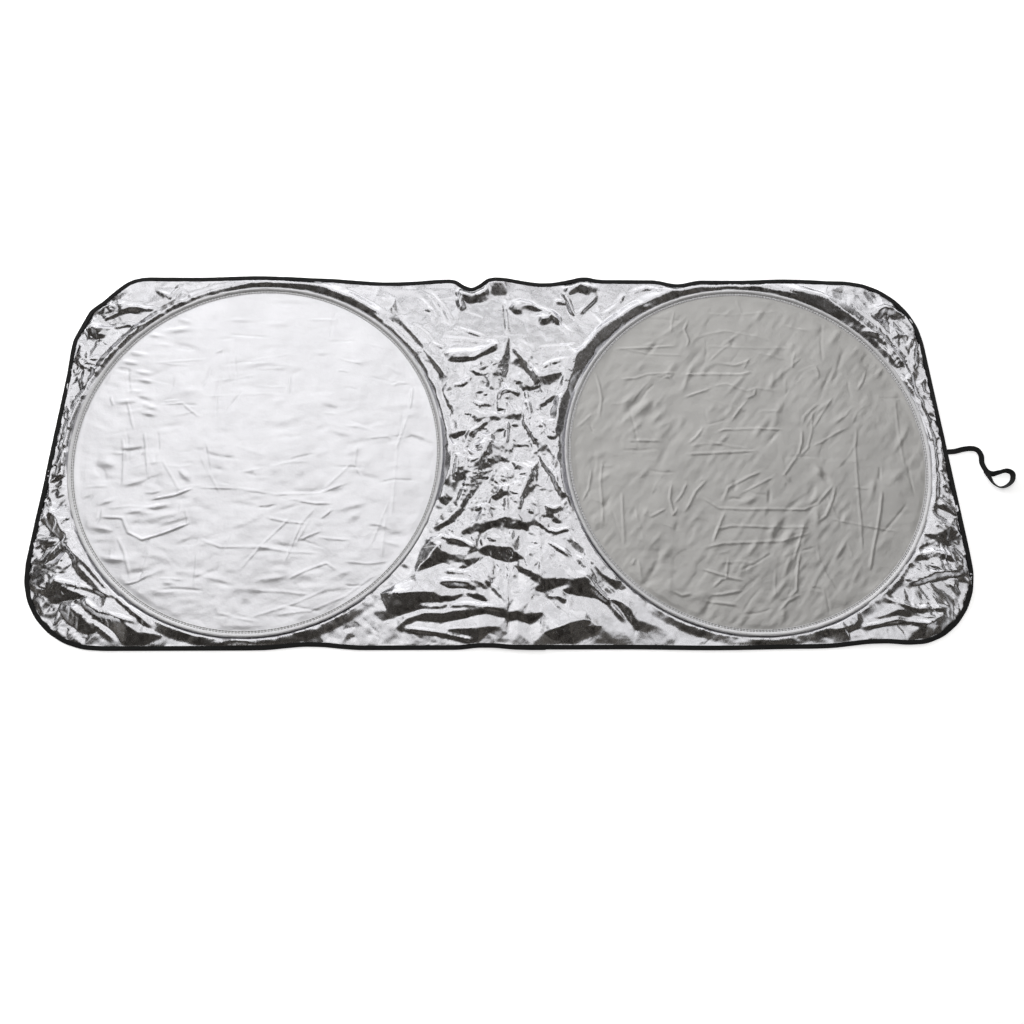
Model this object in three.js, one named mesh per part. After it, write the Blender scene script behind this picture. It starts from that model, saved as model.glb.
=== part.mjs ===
// Windscreen sunshade: a crumpled metallised cloth sheet with two sprung hoops, lying flat.
// Millimetres, +Z up. The origin is on the ground under the middle of the sheet, the long side
// runs along X and the closure strap is at the +X end.
import * as THREE from 'three';

// Hoops
const hoopDiameter = 610;
const hoopGap = 200;
const hoopSteps = 60;
const wireDiameter = 2;
const wireSides = 6;
const wireEndGap = 1.5;
const ferruleLength = 14;
const ferruleWall = 0.45;
const ferruleAngle = 57;

// Sheet outline, measured from the hoops
const endMargin = 52;
const endTaper = 42;
const sideMargin = 20;
const lowerCornerRadius = 130;
const upperCornerRadius = 130;
const cutCornerInset = 88;
const cutCornerDrop = 65;
const cutCornerShoulder = 120;
const cutCornerRadii = [78, 16, 60];
const cutCornerBend = 10.6;
const outlinePoints = 900;
const edgeBand = 45;
const sharpPull = 65;

// Cloth and tapes
const clothThickness = 0.4;
const casingWidth = 10.5;
const casingTape = 0.5;
const casingShoulder = 2.2;
const bindingWidth = 7.5;
const bindingTape = 0.6;
const bindingFold = 0.6;
const bindingLap = 20;
const bindingLapAt = 22;
const strapWidth = 9;
const strapThickness = 1.2;
const strapAt = 3;
const strapRest = 0.1;
const clearance = 0.25;
const discTuck = 2.2;
const hemMargin = 2;
const clothSlack = 0.4;
const foldStart = 1;

// Facets of the crumpled cloth
const outlineStep = 27;
const outlineFineStep = 13;
const facetSize = 17;
const tightFacetSize = 13;
const calmFacetSize = 36;
const foldStep = 10;
const foldSlope = 0.48;
const foldHold = 5;
const acrossHold = 0.35;
const leastUpward = 0.68;
const restSlope = -0.12;
const restHeight = 5;
const restReach = 55;
const lowestFold = 0.4;
const highestFold = 21.9;
const facetHeight = 1.2;
const calmFacetHeight = 0.7;
const tightFacetHeight = 3;
const discFacetSize = 52;
const discWrinkle = 0.5;
const tightPlace = { y: -20, halfLength: 95, halfWidth: 190 };
const calmPlace = { x: 20, y: 235, halfLength: 110, halfWidth: 45, share: 1.2 };

// Layout of the cloth's points
const nearestFoldPoints = 5;
const leastGap = 0.8;
const loopRoom = 1.5;
const leastLoopRoom = 6;
const spreadTries = 12000;
const discTries = 1500;
const settleRounds = 600;
const overshoot = 1.6;

// Materials
const clothFinish = { color: 0xd6d6d9, roughness: 0.34, metalness: 0.85 };
const tapeFinish = { color: 0xdcdcde, roughness: 0.4, metalness: 0.7 };
const steelFinish = { color: 0x8f9296, roughness: 0.35, metalness: 1 };
const bindingFinish = { color: 0x141414, roughness: 0.85, metalness: 0 };

// Worked out from the sizes above
const hoopRadius = hoopDiameter / 2;
const hoopX = hoopRadius + hoopGap / 2;
const halfWidth = hoopRadius + sideMargin;
const lowerHalfLength = hoopX + hoopRadius + endMargin;
const upperHalfLength = lowerHalfLength - endTaper;
const ferruleOuter = wireDiameter / 2 + clearance + ferruleWall;
const channelHeight = 2 * (ferruleOuter + clearance);
const casingBase = clothThickness + clearance;
const wireHeight = casingBase + casingTape + channelHeight / 2;
const wireRadius = hoopRadius - casingTape - channelHeight / 2;
const hemOuterRadius = hoopRadius + hemMargin;
const hemInnerRadius = hoopRadius - casingWidth;
const discHeight = casingBase + casingTape + clearance;
const discRadius = hemInnerRadius + discTuck;
const bindingHeight = 2 * (bindingTape + clearance) + clothThickness;
const sheetInBinding = bindingTape + clearance;

// Pulls and lifts of the bound edge: where along the edge, how far in, how high, how wide.
const edgePulls = [
  { edge: 'top', at: -56, inward: 18, lift: 0, half: 34 },
  { edge: 'top', at: -12, inward: 3, lift: 12, half: 42 },
  { edge: 'top', at: 70, inward: 8, lift: 1, half: 62 },
  { edge: 'top', at: 141, inward: 0, lift: 9, half: 30 },
  { edge: 'top', at: 305, inward: 9, lift: 2, half: 42 },
  { edge: 'top', at: -200, inward: 8, lift: 1, half: 125 },
  { edge: 'top', at: -420, inward: -2, lift: 3, half: 110 },
  { edge: 'top', at: 500, inward: -2, lift: 2, half: 90 },
  { edge: 'top', at: -650, inward: 0, lift: 7, half: 50 },
  { edge: 'bottom', at: -300, inward: 6, lift: 0, half: 80 },
  { edge: 'bottom', at: -30, inward: 4, lift: 1, half: 40 },
  { edge: 'bottom', at: bindingLapAt, inward: 0, lift: 2.4 * (bindingTape + clearance), half: 95 },
  { edge: 'bottom', at: 590, inward: 8, lift: 2, half: 100 },
  { edge: 'bottom', at: 330, inward: -2, lift: 1, half: 150 },
  { edge: 'right', at: 70, inward: 2, lift: 4, half: 50 },
  { edge: 'left', at: 190, inward: 0, lift: 5, half: 60 },
  { edge: 'left', at: -60, inward: 2, lift: 2, half: 50 },
];

// Facets of the loose cloth that lean towards the lower edge, as outlines. The cloth rises in them
// by the fold slope, or by their own. The rest of the cloth leans slightly the other way.
const leaningFacets = [
  // upper edge between the hoops
  {
    outline: [
      [-50, 289], [-20, 310], [0, 312], [17, 309], [12, 300], [4, 287], [-10, 291], [-24, 296],
      [-40, 288],
    ],
  },
  {
    outline: [
      [-100, 310], [-83, 310], [-74, 292], [-72, 270], [-80, 292], [-92, 303],
    ],
  },
  {
    outline: [
      [-74, 292], [-58, 296], [-50, 292], [-62, 288], [-67, 278], [-54, 279], [-44, 284], [-57, 270],
      [-69, 261],
    ],
  },
  {
    outline: [
      [8, 260], [25, 256], [34, 261], [50, 256], [62, 257], [50, 268], [20, 267],
    ],
    slope: 0.3,
  },
  {
    outline: [
      [60, 266], [83, 257], [100, 232], [82, 240], [62, 238], [70, 250],
    ],
    slope: 0.14,
  },
  {
    outline: [
      [104, 291], [110, 291], [119, 262], [126, 248], [122, 243], [113, 262],
    ],
  },
  {
    outline: [
      [142, 270], [150, 279], [166, 292], [162, 280], [150, 268],
    ],
  },
  {
    outline: [
      [111, 293], [125, 303], [140, 314], [152, 307], [170, 302], [166, 292], [150, 279], [138, 268],
      [124, 266],
    ],
    slope: 0.15,
  },
  {
    outline: [
      [88, 279], [98, 274], [109, 275], [110, 291], [106, 286], [98, 281],
    ],
  },
  // middle, upper half
  {
    outline: [
      [9, 212], [4, 196], [1, 180], [-4, 165], [-12, 148], [-22, 131], [-10, 127], [5, 127], [9, 150],
      [12, 170], [13, 200],
    ],
  },
  {
    outline: [
      [13, 172], [28, 167], [43, 149], [56, 133], [50, 127], [36, 145], [24, 158], [12, 163],
    ],
  },
  {
    outline: [
      [17, 131], [28, 129], [49, 114], [44, 109], [30, 112], [19, 123],
    ],
  },
  {
    outline: [
      [50, 130], [57, 128], [70, 107], [62, 108], [52, 111],
    ],
  },
  {
    outline: [
      [13, 187], [28, 187], [46, 173], [57, 165], [48, 157], [30, 163], [14, 172],
    ],
    slope: 0.16,
  },
  {
    outline: [
      [60, 133], [75, 137], [98, 142], [92, 131], [78, 119], [63, 120],
    ],
  },
  {
    outline: [
      [100, 108], [101, 127], [105, 150], [112, 166], [125, 177], [146, 183], [150, 173], [138, 160],
      [124, 143], [110, 122],
    ],
  },
  {
    outline: [
      [145, 190], [150, 202], [162, 217], [180, 234], [176, 214], [162, 200], [152, 189],
    ],
  },
  {
    outline: [
      [46, 75], [58, 86], [70, 98], [86, 105], [90, 101], [76, 93], [60, 82],
    ],
  },
  {
    outline: [
      [-150, 186], [-135, 184], [-120, 168], [-106, 150], [-92, 128], [-102, 132], [-114, 146],
      [-128, 160], [-142, 172],
    ],
  },
  {
    outline: [
      [-202, 253], [-186, 247], [-170, 250], [-176, 240], [-152, 213], [-137, 195], [-148, 196],
      [-164, 208], [-182, 226], [-196, 241],
    ],
  },
  {
    outline: [
      [-112, 118], [-103, 116], [-97, 99], [-86, 83], [-94, 80], [-103, 95],
    ],
  },
  {
    outline: [
      [-52, 67], [-40, 59], [-28, 55], [-31, 49], [-43, 54], [-54, 60],
    ],
  },
  {
    outline: [
      [-30, 62], [-10, 65], [1, 67], [-1, 59], [-12, 55], [-28, 56],
    ],
  },
  {
    outline: [
      [2, 63], [18, 68], [33, 74], [31, 66], [18, 59], [3, 57],
    ],
  },
  {
    outline: [
      [28, 63], [35, 61], [43, 46], [53, 36], [46, 30], [37, 42], [30, 54],
    ],
  },
  {
    outline: [
      [-12, 102], [-6, 101], [4, 88], [5, 75], [-2, 66], [-13, 73], [-11, 90],
    ],
    slope: 0.3,
  },
  {
    outline: [
      [-94, 27], [-84, 33], [-70, 37], [-59, 39], [-66, 29], [-80, 23], [-92, 20],
    ],
  },
  {
    outline: [
      [-62, 20], [-53, 40], [-44, 50], [-37, 44], [-46, 30], [-53, 15],
    ],
    slope: 0.35,
  },
  {
    outline: [
      [3, 57], [10, 60], [11, 40], [8, 20], [1, 20], [3, 40],
    ],
    slope: 0.2,
  },
  {
    outline: [
      [-95, 162], [-68, 162], [-50, 177], [-70, 179], [-86, 174],
    ],
    slope: 0.22,
  },
  {
    outline: [
      [-46, 149], [-36, 152], [-22, 153], [-4, 167], [-8, 157], [-22, 149], [-34, 146],
    ],
  },
  {
    outline: [
      [-67, 159], [-52, 152], [-34, 145], [-31, 136], [-44, 140], [-56, 148],
    ],
  },
  {
    outline: [
      [-126, 146], [-112, 139], [-100, 119], [-108, 122], [-116, 133],
    ],
  },
  {
    outline: [
      [99, 83], [105, 88], [111, 84], [109, 70], [103, 56], [98, 60], [101, 72],
    ],
  },
  {
    outline: [
      [-10, 104], [3, 114], [10, 120], [30, 108], [20, 97], [8, 90], [3, 92],
    ],
    slope: 0.14,
  },
  {
    outline: [
      [9, 90], [20, 99], [31, 109], [32, 104], [20, 93], [11, 86],
    ],
  },
  {
    outline: [
      [44, 27], [51, 24], [54, 10], [50, 8], [46, 18],
    ],
  },
  {
    outline: [
      [4, 55], [9, 50], [8, 35], [6, 20], [9, 5], [3, 8], [1, 20], [3, 38],
    ],
  },
  {
    outline: [
      [-6, 36], [2, 40], [2, 22], [4, 8], [-2, 12], [-6, 22],
    ],
    slope: 0.3,
  },
  {
    outline: [
      [-20, 34], [-10, 41], [1, 44], [-1, 38], [-12, 35], [-17, 32],
    ],
  },
  {
    outline: [
      [-17, 6], [-5, 12], [2, 5], [0, -2], [-8, -4], [-16, 0],
    ],
    slope: 0.3,
  },
  {
    outline: [
      [8, -1], [14, 0], [22, 16], [16, 17],
    ],
  },
  {
    outline: [
      [-50, 68], [-40, 63], [-34, 54], [-40, 51], [-50, 61],
    ],
  },
  {
    outline: [
      [-62, 51], [-52, 58], [-42, 57], [-48, 52],
    ],
    slope: 0.4,
  },
  {
    outline: [
      [-36, 50], [-40, 40], [-48, 26], [-60, 6], [-71, -3], [-60, 12], [-48, 32], [-42, 46],
    ],
  },
  {
    outline: [
      [-90, 3], [-80, 1], [-73, -2], [-84, -4],
    ],
  },
  {
    outline: [
      [-54, -16], [-50, -18], [-57, -30], [-64, -46], [-77, -62], [-70, -44], [-62, -28],
    ],
  },
  {
    outline: [
      [-22, -77], [-8, -69], [8, -67], [4, -76], [-8, -83], [-17, -83],
    ],
  },
  {
    outline: [
      [-30, -93], [-21, -84], [-13, -79], [-17, -84], [-25, -93],
    ],
  },
  {
    outline: [
      [58, 7], [66, 11], [70, 5], [62, 1],
    ],
  },
  {
    outline: [
      [56, 24], [66, 22], [72, 14], [66, 11], [58, 9],
    ],
    slope: 0.18,
  },
  {
    outline: [
      [86, -10], [91, -7], [88, -24], [82, -27],
    ],
  },
  {
    outline: [
      [70, -12], [80, -6], [86, -12], [82, -27], [76, -22],
    ],
    slope: 0.18,
  },
  {
    outline: [
      [76, -98], [86, -92], [88, -104], [84, -112], [76, -106],
    ],
    slope: 0.2,
  },
  {
    outline: [
      [-48, 106], [-40, 111], [-30, 108], [-38, 103],
    ],
    slope: 0.4,
  },
  {
    outline: [
      [-98, 115], [-90, 118], [-84, 111], [-90, 108],
    ],
  },
  {
    outline: [
      [-25, 114], [-20, 118], [-14, 112], [-20, 110],
    ],
    slope: 0.4,
  },
  {
    outline: [
      [46, 88], [60, 96], [74, 104], [84, 106], [76, 98], [60, 90],
    ],
    slope: 0.25,
  },
  // middle, lower half
  {
    outline: [
      [-24, 18], [-13, 13], [-22, 4], [-30, -8], [-35, -22], [-37, -56], [-48, -71], [-58, -86],
      [-66, -101], [-77, -118], [-94, -119], [-80, -104], [-66, -86], [-57, -66], [-50, -28],
      [-39, -12], [-31, 6],
    ],
  },
  {
    outline: [
      [-94, -119], [-77, -118], [-96, -128], [-115, -142], [-135, -160], [-152, -176], [-158, -183],
      [-156, -166], [-132, -143], [-114, -128],
    ],
  },
  {
    outline: [
      [-75, -11], [-60, -11], [-62, -25], [-69, -42], [-78, -52], [-86, -48], [-80, -30],
    ],
    slope: 0.22,
  },
  {
    outline: [
      [-103, -70], [-97, -77], [-82, -78], [-94, -93], [-107, -113], [-121, -131], [-138, -144],
      [-134, -135], [-119, -115], [-107, -93],
    ],
  },
  {
    outline: [
      [-21, -3], [-12, -8], [0, -9], [12, -16], [4, -22], [-8, -18], [-16, -30], [-25, -46],
      [-35, -57], [-35, -22],
    ],
    slope: 0.32,
  },
  {
    outline: [
      [51, -23], [46, -31], [42, -36], [37, -52], [31, -66], [25, -82], [21, -101], [28, -99],
      [35, -80], [41, -69], [54, -64], [51, -50],
    ],
  },
  {
    outline: [
      [51, 10], [55, -4], [60, -20], [66, -30], [73, -39], [80, -57], [90, -77], [98, -92],
      [106, -106], [118, -120], [113, -104], [103, -85], [94, -67], [86, -53], [79, -38], [71, -26],
      [64, -14], [57, 4],
    ],
  },
  {
    outline: [
      [57, -71], [64, -59], [77, -59], [77, -69], [66, -67],
    ],
    slope: 0.18,
  },
  {
    outline: [
      [67, -101], [75, -101], [89, -115], [81, -120], [71, -111],
    ],
  },
  {
    outline: [
      [9, -121], [20, -120], [40, -121], [46, -117], [48, -107], [52, -113], [47, -125], [36, -130],
      [22, -132], [9, -131],
    ],
  },
  {
    outline: [
      [-39, -128], [-28, -121], [-10, -116], [8, -112], [10, -121], [-5, -125], [-18, -129],
      [-30, -137], [-39, -144],
    ],
  },
  {
    outline: [
      [-45, -121], [-42, -127], [-55, -141], [-78, -143], [-62, -133],
    ],
    slope: 0.35,
  },
  {
    outline: [
      [-41, -168], [-33, -161], [-24, -159], [-18, -149], [-8, -160], [4, -162], [14, -164],
      [22, -171], [31, -178], [20, -185], [6, -186], [-14, -180], [-28, -176],
    ],
  },
  {
    outline: [
      [6, -186], [16, -189], [30, -196], [46, -204], [57, -211], [58, -222], [47, -217], [36, -209],
      [22, -200],
    ],
  },
  {
    outline: [
      [60, -215], [80, -214], [112, -214], [96, -223], [80, -228], [58, -234], [48, -230], [56, -222],
    ],
  },
  {
    outline: [
      [82, -234], [108, -227], [113, -215], [128, -211], [141, -222], [151, -235], [161, -245],
      [178, -248], [172, -254], [158, -252], [143, -244], [124, -241], [100, -238],
    ],
  },
  {
    outline: [
      [58, -232], [70, -236], [81, -241], [98, -246], [92, -256], [79, -248], [68, -240],
    ],
  },
  {
    outline: [
      [145, -195], [152, -203], [166, -213], [181, -220], [196, -225], [186, -232], [170, -230],
      [157, -222], [145, -209],
    ],
  },
  {
    outline: [
      [99, -149], [112, -151], [129, -164], [126, -174], [115, -171], [107, -160],
    ],
    slope: 0.25,
  },
  {
    outline: [
      [123, -179], [132, -177], [145, -190], [145, -206], [133, -196],
    ],
    slope: 0.25,
  },
  {
    outline: [
      [-106, -160], [-100, -168], [-84, -174], [-96, -185], [-110, -191], [-140, -204], [-134, -191],
      [-120, -179],
    ],
  },
  {
    outline: [
      [-99, -155], [-84, -147], [-72, -149], [-61, -158], [-70, -162], [-84, -156],
    ],
    slope: 0.3,
  },
  {
    outline: [
      [-82, -171], [-60, -174], [-64, -183], [-76, -187], [-89, -191],
    ],
    slope: 0.25,
  },
  {
    outline: [
      [-80, -199], [-66, -191], [-56, -183], [-45, -179], [-50, -190], [-64, -198],
    ],
  },
  {
    outline: [
      [-101, -220], [-70, -217], [-50, -216], [-36, -221], [-27, -231], [-36, -230], [-56, -225],
      [-72, -229], [-88, -229],
    ],
  },
  {
    outline: [
      [-62, -236], [-46, -237], [-34, -241], [-25, -251], [-38, -249], [-52, -243],
    ],
  },
  {
    outline: [
      [-41, -130], [-38, -148], [-42, -162], [-49, -158], [-45, -144],
    ],
    slope: 0.2,
  },
  // lower edge
  {
    outline: [
      [-196, -236], [-112, -235], [-100, -242], [-78, -239], [-76, -247], [-92, -257], [-104, -253],
      [-125, -259], [-150, -268], [-200, -283], [-252, -294], [-300, -294], [-250, -270], [-214, -242],
    ],
  },
  {
    outline: [
      [-126, -267], [-100, -269], [-80, -265], [-50, -263], [-2, -261], [4, -268], [2, -275],
      [-12, -273], [-30, -269], [-50, -273], [-75, -279], [-100, -282], [-136, -279], [-152, -287],
      [-160, -297], [-168, -291], [-150, -274],
    ],
  },
  {
    outline: [
      [-107, -294], [-60, -292], [-2, -289], [-15, -295], [-33, -300], [-41, -310], [-52, -310],
      [-70, -305], [-90, -300],
    ],
  },
  {
    outline: [
      [2, -269], [7, -280], [5, -292], [4, -308], [-4, -308], [-3, -295], [-1, -282],
    ],
    slope: 0.3,
  },
  {
    outline: [
      [8, -267], [20, -266], [28, -271], [45, -269], [57, -267], [56, -274], [46, -281], [38, -285],
      [30, -281], [20, -278], [8, -278],
    ],
  },
  {
    outline: [
      [57, -236], [60, -250], [61, -270], [59, -288], [64, -290], [66, -272], [64, -248], [62, -236],
    ],
    slope: 0.15,
  },
  {
    outline: [
      [54, -309], [62, -299], [82, -292], [100, -285], [124, -279], [137, -281], [126, -291],
      [152, -289], [140, -298], [120, -305], [104, -309],
    ],
  },
  {
    outline: [
      [128, -309], [146, -301], [160, -297], [172, -302], [184, -309],
    ],
    slope: 0.2,
  },
  {
    outline: [
      [172, -250], [184, -250], [195, -262], [203, -276], [213, -295], [204, -294], [192, -277],
      [181, -263],
    ],
  },
  {
    outline: [
      [-150, -301], [-135, -296], [-118, -295], [-122, -307], [-148, -307],
    ],
    slope: 0.2,
  },
  {
    outline: [
      [-126, -146], [-117, -141], [-134, -160], [-148, -178], [-139, -183], [-147, -198], [-151, -209],
      [-172, -221], [-196, -236], [-207, -236], [-182, -211], [-160, -185], [-144, -164],
    ],
  },
  // left end
  {
    outline: [
      [-706, 251], [-690, 250], [-655, 258], [-649, 256], [-668, 246], [-682, 239], [-692, 242],
    ],
  },
  {
    outline: [
      [-716, 203], [-713, 221], [-700, 225], [-690, 218], [-682, 204], [-695, 199], [-706, 197],
    ],
  },
  {
    outline: [
      [-714, 181], [-705, 178], [-699, 165], [-694, 154], [-706, 157], [-716, 166],
    ],
  },
  {
    outline: [
      [-722, 139], [-713, 152], [-703, 150], [-706, 139], [-715, 131],
    ],
  },
  {
    outline: [
      [-567, 284], [-560, 268], [-549, 284], [-544, 301], [-552, 292], [-560, 280],
    ],
  },
  {
    outline: [
      [-562, 303], [-545, 300], [-530, 303], [-510, 309], [-530, 312], [-556, 311],
    ],
  },
  {
    outline: [
      [-735, 32], [-724, 28], [-721, 5], [-733, 2],
    ],
    slope: 0.2,
  },
  {
    outline: [
      [-738, -99], [-728, -100], [-714, -111], [-700, -134], [-712, -140], [-728, -128],
    ],
  },
  {
    outline: [
      [-740, -140], [-733, -145], [-727, -160], [-738, -164],
    ],
    slope: 0.3,
  },
  {
    outline: [
      [-704, -139], [-692, -142], [-681, -168], [-664, -195], [-645, -215], [-618, -240], [-628, -241],
      [-650, -222], [-669, -206], [-686, -176], [-702, -151],
    ],
    slope: 0.34,
  },
  {
    outline: [
      [-722, -190], [-712, -200], [-700, -190], [-692, -198], [-680, -192], [-690, -206], [-706, -204],
      [-718, -203],
    ],
    slope: 0.25,
  },
  {
    outline: [
      [-736, -244], [-716, -239], [-701, -214], [-690, -224], [-660, -238], [-636, -240], [-664, -245],
      [-690, -249], [-714, -251],
    ],
  },
  {
    outline: [
      [-692, -261], [-670, -264], [-641, -284], [-624, -304], [-650, -298], [-676, -281],
    ],
  },
  {
    outline: [
      [-657, -255], [-620, -261], [-590, -279], [-565, -297], [-558, -308], [-590, -307], [-611, -290],
      [-640, -275],
    ],
  },
  {
    outline: [
      [-590, -284], [-565, -294], [-536, -302], [-470, -309], [-545, -310], [-575, -302],
    ],
  },
  {
    outline: [
      [-345, -304], [-300, -294], [-252, -294], [-230, -303], [-195, -309], [-262, -311], [-330, -311],
    ],
    slope: 0.3,
  },
  // right end
  {
    outline: [
      [490, 300], [505, 304], [540, 301], [565, 293], [600, 275], [630, 257], [652, 238], [669, 218],
      [673, 204], [660, 196], [644, 204], [626, 226], [602, 247], [574, 266], [545, 281], [515, 293],
    ],
    slope: 0.3,
  },
  {
    outline: [
      [343, 302], [365, 310], [395, 312], [425, 310], [434, 304], [420, 309], [400, 310], [370, 306],
    ],
  },
  {
    outline: [
      [650, 263], [665, 269], [700, 262], [690, 249], [670, 247], [655, 251],
    ],
  },
  {
    outline: [
      [560, 312], [590, 309], [612, 305], [640, 297], [625, 296], [600, 301], [575, 305],
    ],
  },
  {
    outline: [
      [694, 176], [705, 171], [714, 159], [705, 153], [697, 164],
    ],
  },
  {
    outline: [
      [711, 96], [719, 91], [722, 60], [722, 38], [715, 43], [711, 70],
    ],
  },
  {
    outline: [
      [704, -70], [709, -54], [715, -24], [722, -29], [718, -60], [712, -77],
    ],
    slope: 0.25,
  },
  {
    outline: [
      [700, -152], [711, -130], [733, -129], [738, -142], [736, -156], [724, -151], [712, -156],
    ],
  },
  {
    outline: [
      [640, -214], [680, -204], [720, -199], [736, -190], [737, -200], [730, -210], [700, -216],
      [660, -223], [628, -229],
    ],
  },
  {
    outline: [
      [588, -275], [620, -264], [642, -264], [643, -273], [625, -286], [600, -286],
    ],
    slope: 0.3,
  },
  {
    outline: [
      [706, -286], [690, -274], [660, -289], [640, -301], [670, -299], [694, -294],
    ],
  },
  {
    outline: [
      [648, -204], [640, -200], [620, -224], [596, -244], [569, -264], [548, -278], [560, -287],
      [582, -275], [604, -260], [620, -238], [636, -222],
    ],
  },
  {
    outline: [
      [500, -300], [540, -291], [572, -279], [560, -293], [530, -303], [500, -308],
    ],
  },
  {
    outline: [
      [246, -264], [280, -282], [320, -297], [352, -306], [310, -304], [275, -292], [236, -266],
    ],
  },
  {
    outline: [
      [206, -279], [212, -302], [240, -291], [222, -284],
    ],
    slope: 0.2,
  },
];

// Middle line of the closure strap from the bound edge: across, along and height over its rest,
// with the turn of the tape about its own length.
const strapLine = [
  { at: [0, 0, 0.45], turn: 0 },
  { at: [12, 1, 0.8], turn: 6 },
  { at: [26, 4, 2], turn: 14 },
  { at: [40, 5, 3], turn: 10 },
  { at: [50, 2, 2], turn: 6 },
  { at: [55, -7, 0.8], turn: 4 },
  { at: [55, -20, 0], turn: 0 },
  { at: [60, -33, 0], turn: 0 },
  { at: [68, -39, 0], turn: 24 },
  { at: [79, -37, 0], turn: 48 },
  { at: [92, -34, 0], turn: 55 },
  { at: [101, -39, 0], turn: 55 },
  { at: [99, -51, 0], turn: 55 },
  { at: [89, -60, 0], turn: 55 },
  { at: [77, -63, 0], turn: 52 },
  { at: [67, -56, 0.5], turn: 36 },
  { at: [62, -45, 1.6], turn: 14 },
  { at: [58, -34, 1.6], turn: 0 },
];

function seededRandom(seed) {
  let state = seed;
  return () => {
    state = (state + 0x6d2b79f5) | 0;
    let mixed = Math.imul(state ^ (state >>> 15), 1 | state);
    mixed = (mixed + Math.imul(mixed ^ (mixed >>> 7), 61 | mixed)) ^ mixed;
    return ((mixed ^ (mixed >>> 14)) >>> 0) / 4294967296;
  };
}

function radians(degrees) {
  return THREE.MathUtils.degToRad(degrees);
}

// One closed body from points and triangles, with its faces turned outward.
function closedBody(points, faces) {
  let volume = 0;
  for (const [a, b, c] of faces) {
    volume += points[a].dot(new THREE.Vector3().crossVectors(points[b], points[c]));
  }
  const outward = volume > 0 ? faces : faces.map(([a, b, c]) => [a, c, b]);
  const geometry = new THREE.BufferGeometry();
  const places = points.flatMap((point) => point.toArray());
  geometry.setAttribute('position', new THREE.Float32BufferAttribute(places, 3));
  geometry.setIndex(outward.flat());
  geometry.computeVertexNormals();
  return geometry;
}

// Skin over a row of like sections. An open row gets an end face on both ends.
function loft(sections, closed, profile) {
  const count = sections[0].length;
  const points = sections.flat();
  const faces = [];
  const spans = closed ? sections.length : sections.length - 1;
  for (let i = 0; i < spans; i += 1) {
    const here = i * count;
    const next = ((i + 1) % sections.length) * count;
    for (let j = 0; j < count; j += 1) {
      const k = (j + 1) % count;
      faces.push([here + j, next + j, next + k], [here + j, next + k, here + k]);
    }
  }
  if (!closed) {
    const winding = Math.sign(THREE.ShapeUtils.area(profile));
    const end = points.length - count;
    for (const [a, b, c] of THREE.ShapeUtils.triangulateShape(profile, [])) {
      const turn = Math.sign(THREE.ShapeUtils.area([profile[a], profile[b], profile[c]]));
      const [p, q, r] = turn === winding ? [a, b, c] : [a, c, b];
      faces.push([p, q, r], [end + p, end + r, end + q]);
    }
  }
  return closedBody(points, faces);
}

// Outline of the bound edge

function roundedCorners(corners) {
  const path = new THREE.Path();
  corners.forEach((corner, i) => {
    const before = corners[(i + corners.length - 1) % corners.length];
    const after = corners[(i + 1) % corners.length];
    const toBefore = before.at.clone().sub(corner.at).normalize();
    const toAfter = after.at.clone().sub(corner.at).normalize();
    const halfAngle = Math.acos(toBefore.dot(toAfter)) / 2;
    const reach = corner.radius / Math.tan(halfAngle);
    const start = corner.at.clone().addScaledVector(toBefore, reach);
    const end = corner.at.clone().addScaledVector(toAfter, reach);
    const middle = toBefore.clone().add(toAfter).normalize();
    const centre = corner.at.clone().addScaledVector(middle, corner.radius / Math.sin(halfAngle));
    const startAngle = start.clone().sub(centre).angle();
    const endAngle = end.clone().sub(centre).angle();
    if (i === 0) {
      path.moveTo(start.x, start.y);
    } else {
      path.lineTo(start.x, start.y);
    }
    path.absarc(centre.x, centre.y, corner.radius, startAngle, endAngle, false);
  });
  path.closePath();
  return path;
}

// A rounded trapezoid whose upper left corner is cut off in two bends.
function sheetCorners() {
  const corner = (x, y, radius) => ({ at: new THREE.Vector2(x, y), radius });
  const side = (y) => THREE.MathUtils.mapLinear(y, -halfWidth, halfWidth, lowerHalfLength, upperHalfLength);
  const shoulder = halfWidth - cutCornerShoulder;
  const [upperBend, middleBend, lowerBend] = cutCornerRadii;
  return [
    corner(-lowerHalfLength, -halfWidth, lowerCornerRadius),
    corner(lowerHalfLength, -halfWidth, lowerCornerRadius),
    corner(upperHalfLength, halfWidth, upperCornerRadius),
    corner(-upperHalfLength + cutCornerInset, halfWidth, upperBend),
    corner(-upperHalfLength + cutCornerBend, halfWidth - cutCornerDrop, middleBend),
    corner(-side(shoulder), shoulder, lowerBend),
  ];
}

// How a pulled stretch of the edge moves a point: distance inward and upward.
function pullAt(point) {
  let inward = 0;
  let lift = 0;
  for (const pull of edgePulls) {
    const onEdge = {
      top: point.y > halfWidth - edgeBand,
      bottom: point.y < -halfWidth + edgeBand,
      left: point.x < -hoopX - hoopRadius,
      right: point.x > hoopX + hoopRadius,
    }[pull.edge];
    const along = pull.edge === 'top' || pull.edge === 'bottom' ? point.x : point.y;
    const away = (along - pull.at) / pull.half;
    if (onEdge && Math.abs(away) < 1) {
      const share = Math.cos((away * Math.PI) / 2) ** 2;
      inward += pull.inward * share;
      lift += pull.lift * share;
    }
  }
  return { inward, lift };
}

function nearSharpPull(point) {
  return edgePulls.some((pull) => pull.edge === 'top' && pull.half < sharpPull && point.y > 0
    && Math.abs(point.x - pull.at) < pull.half + outlineFineStep);
}

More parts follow.
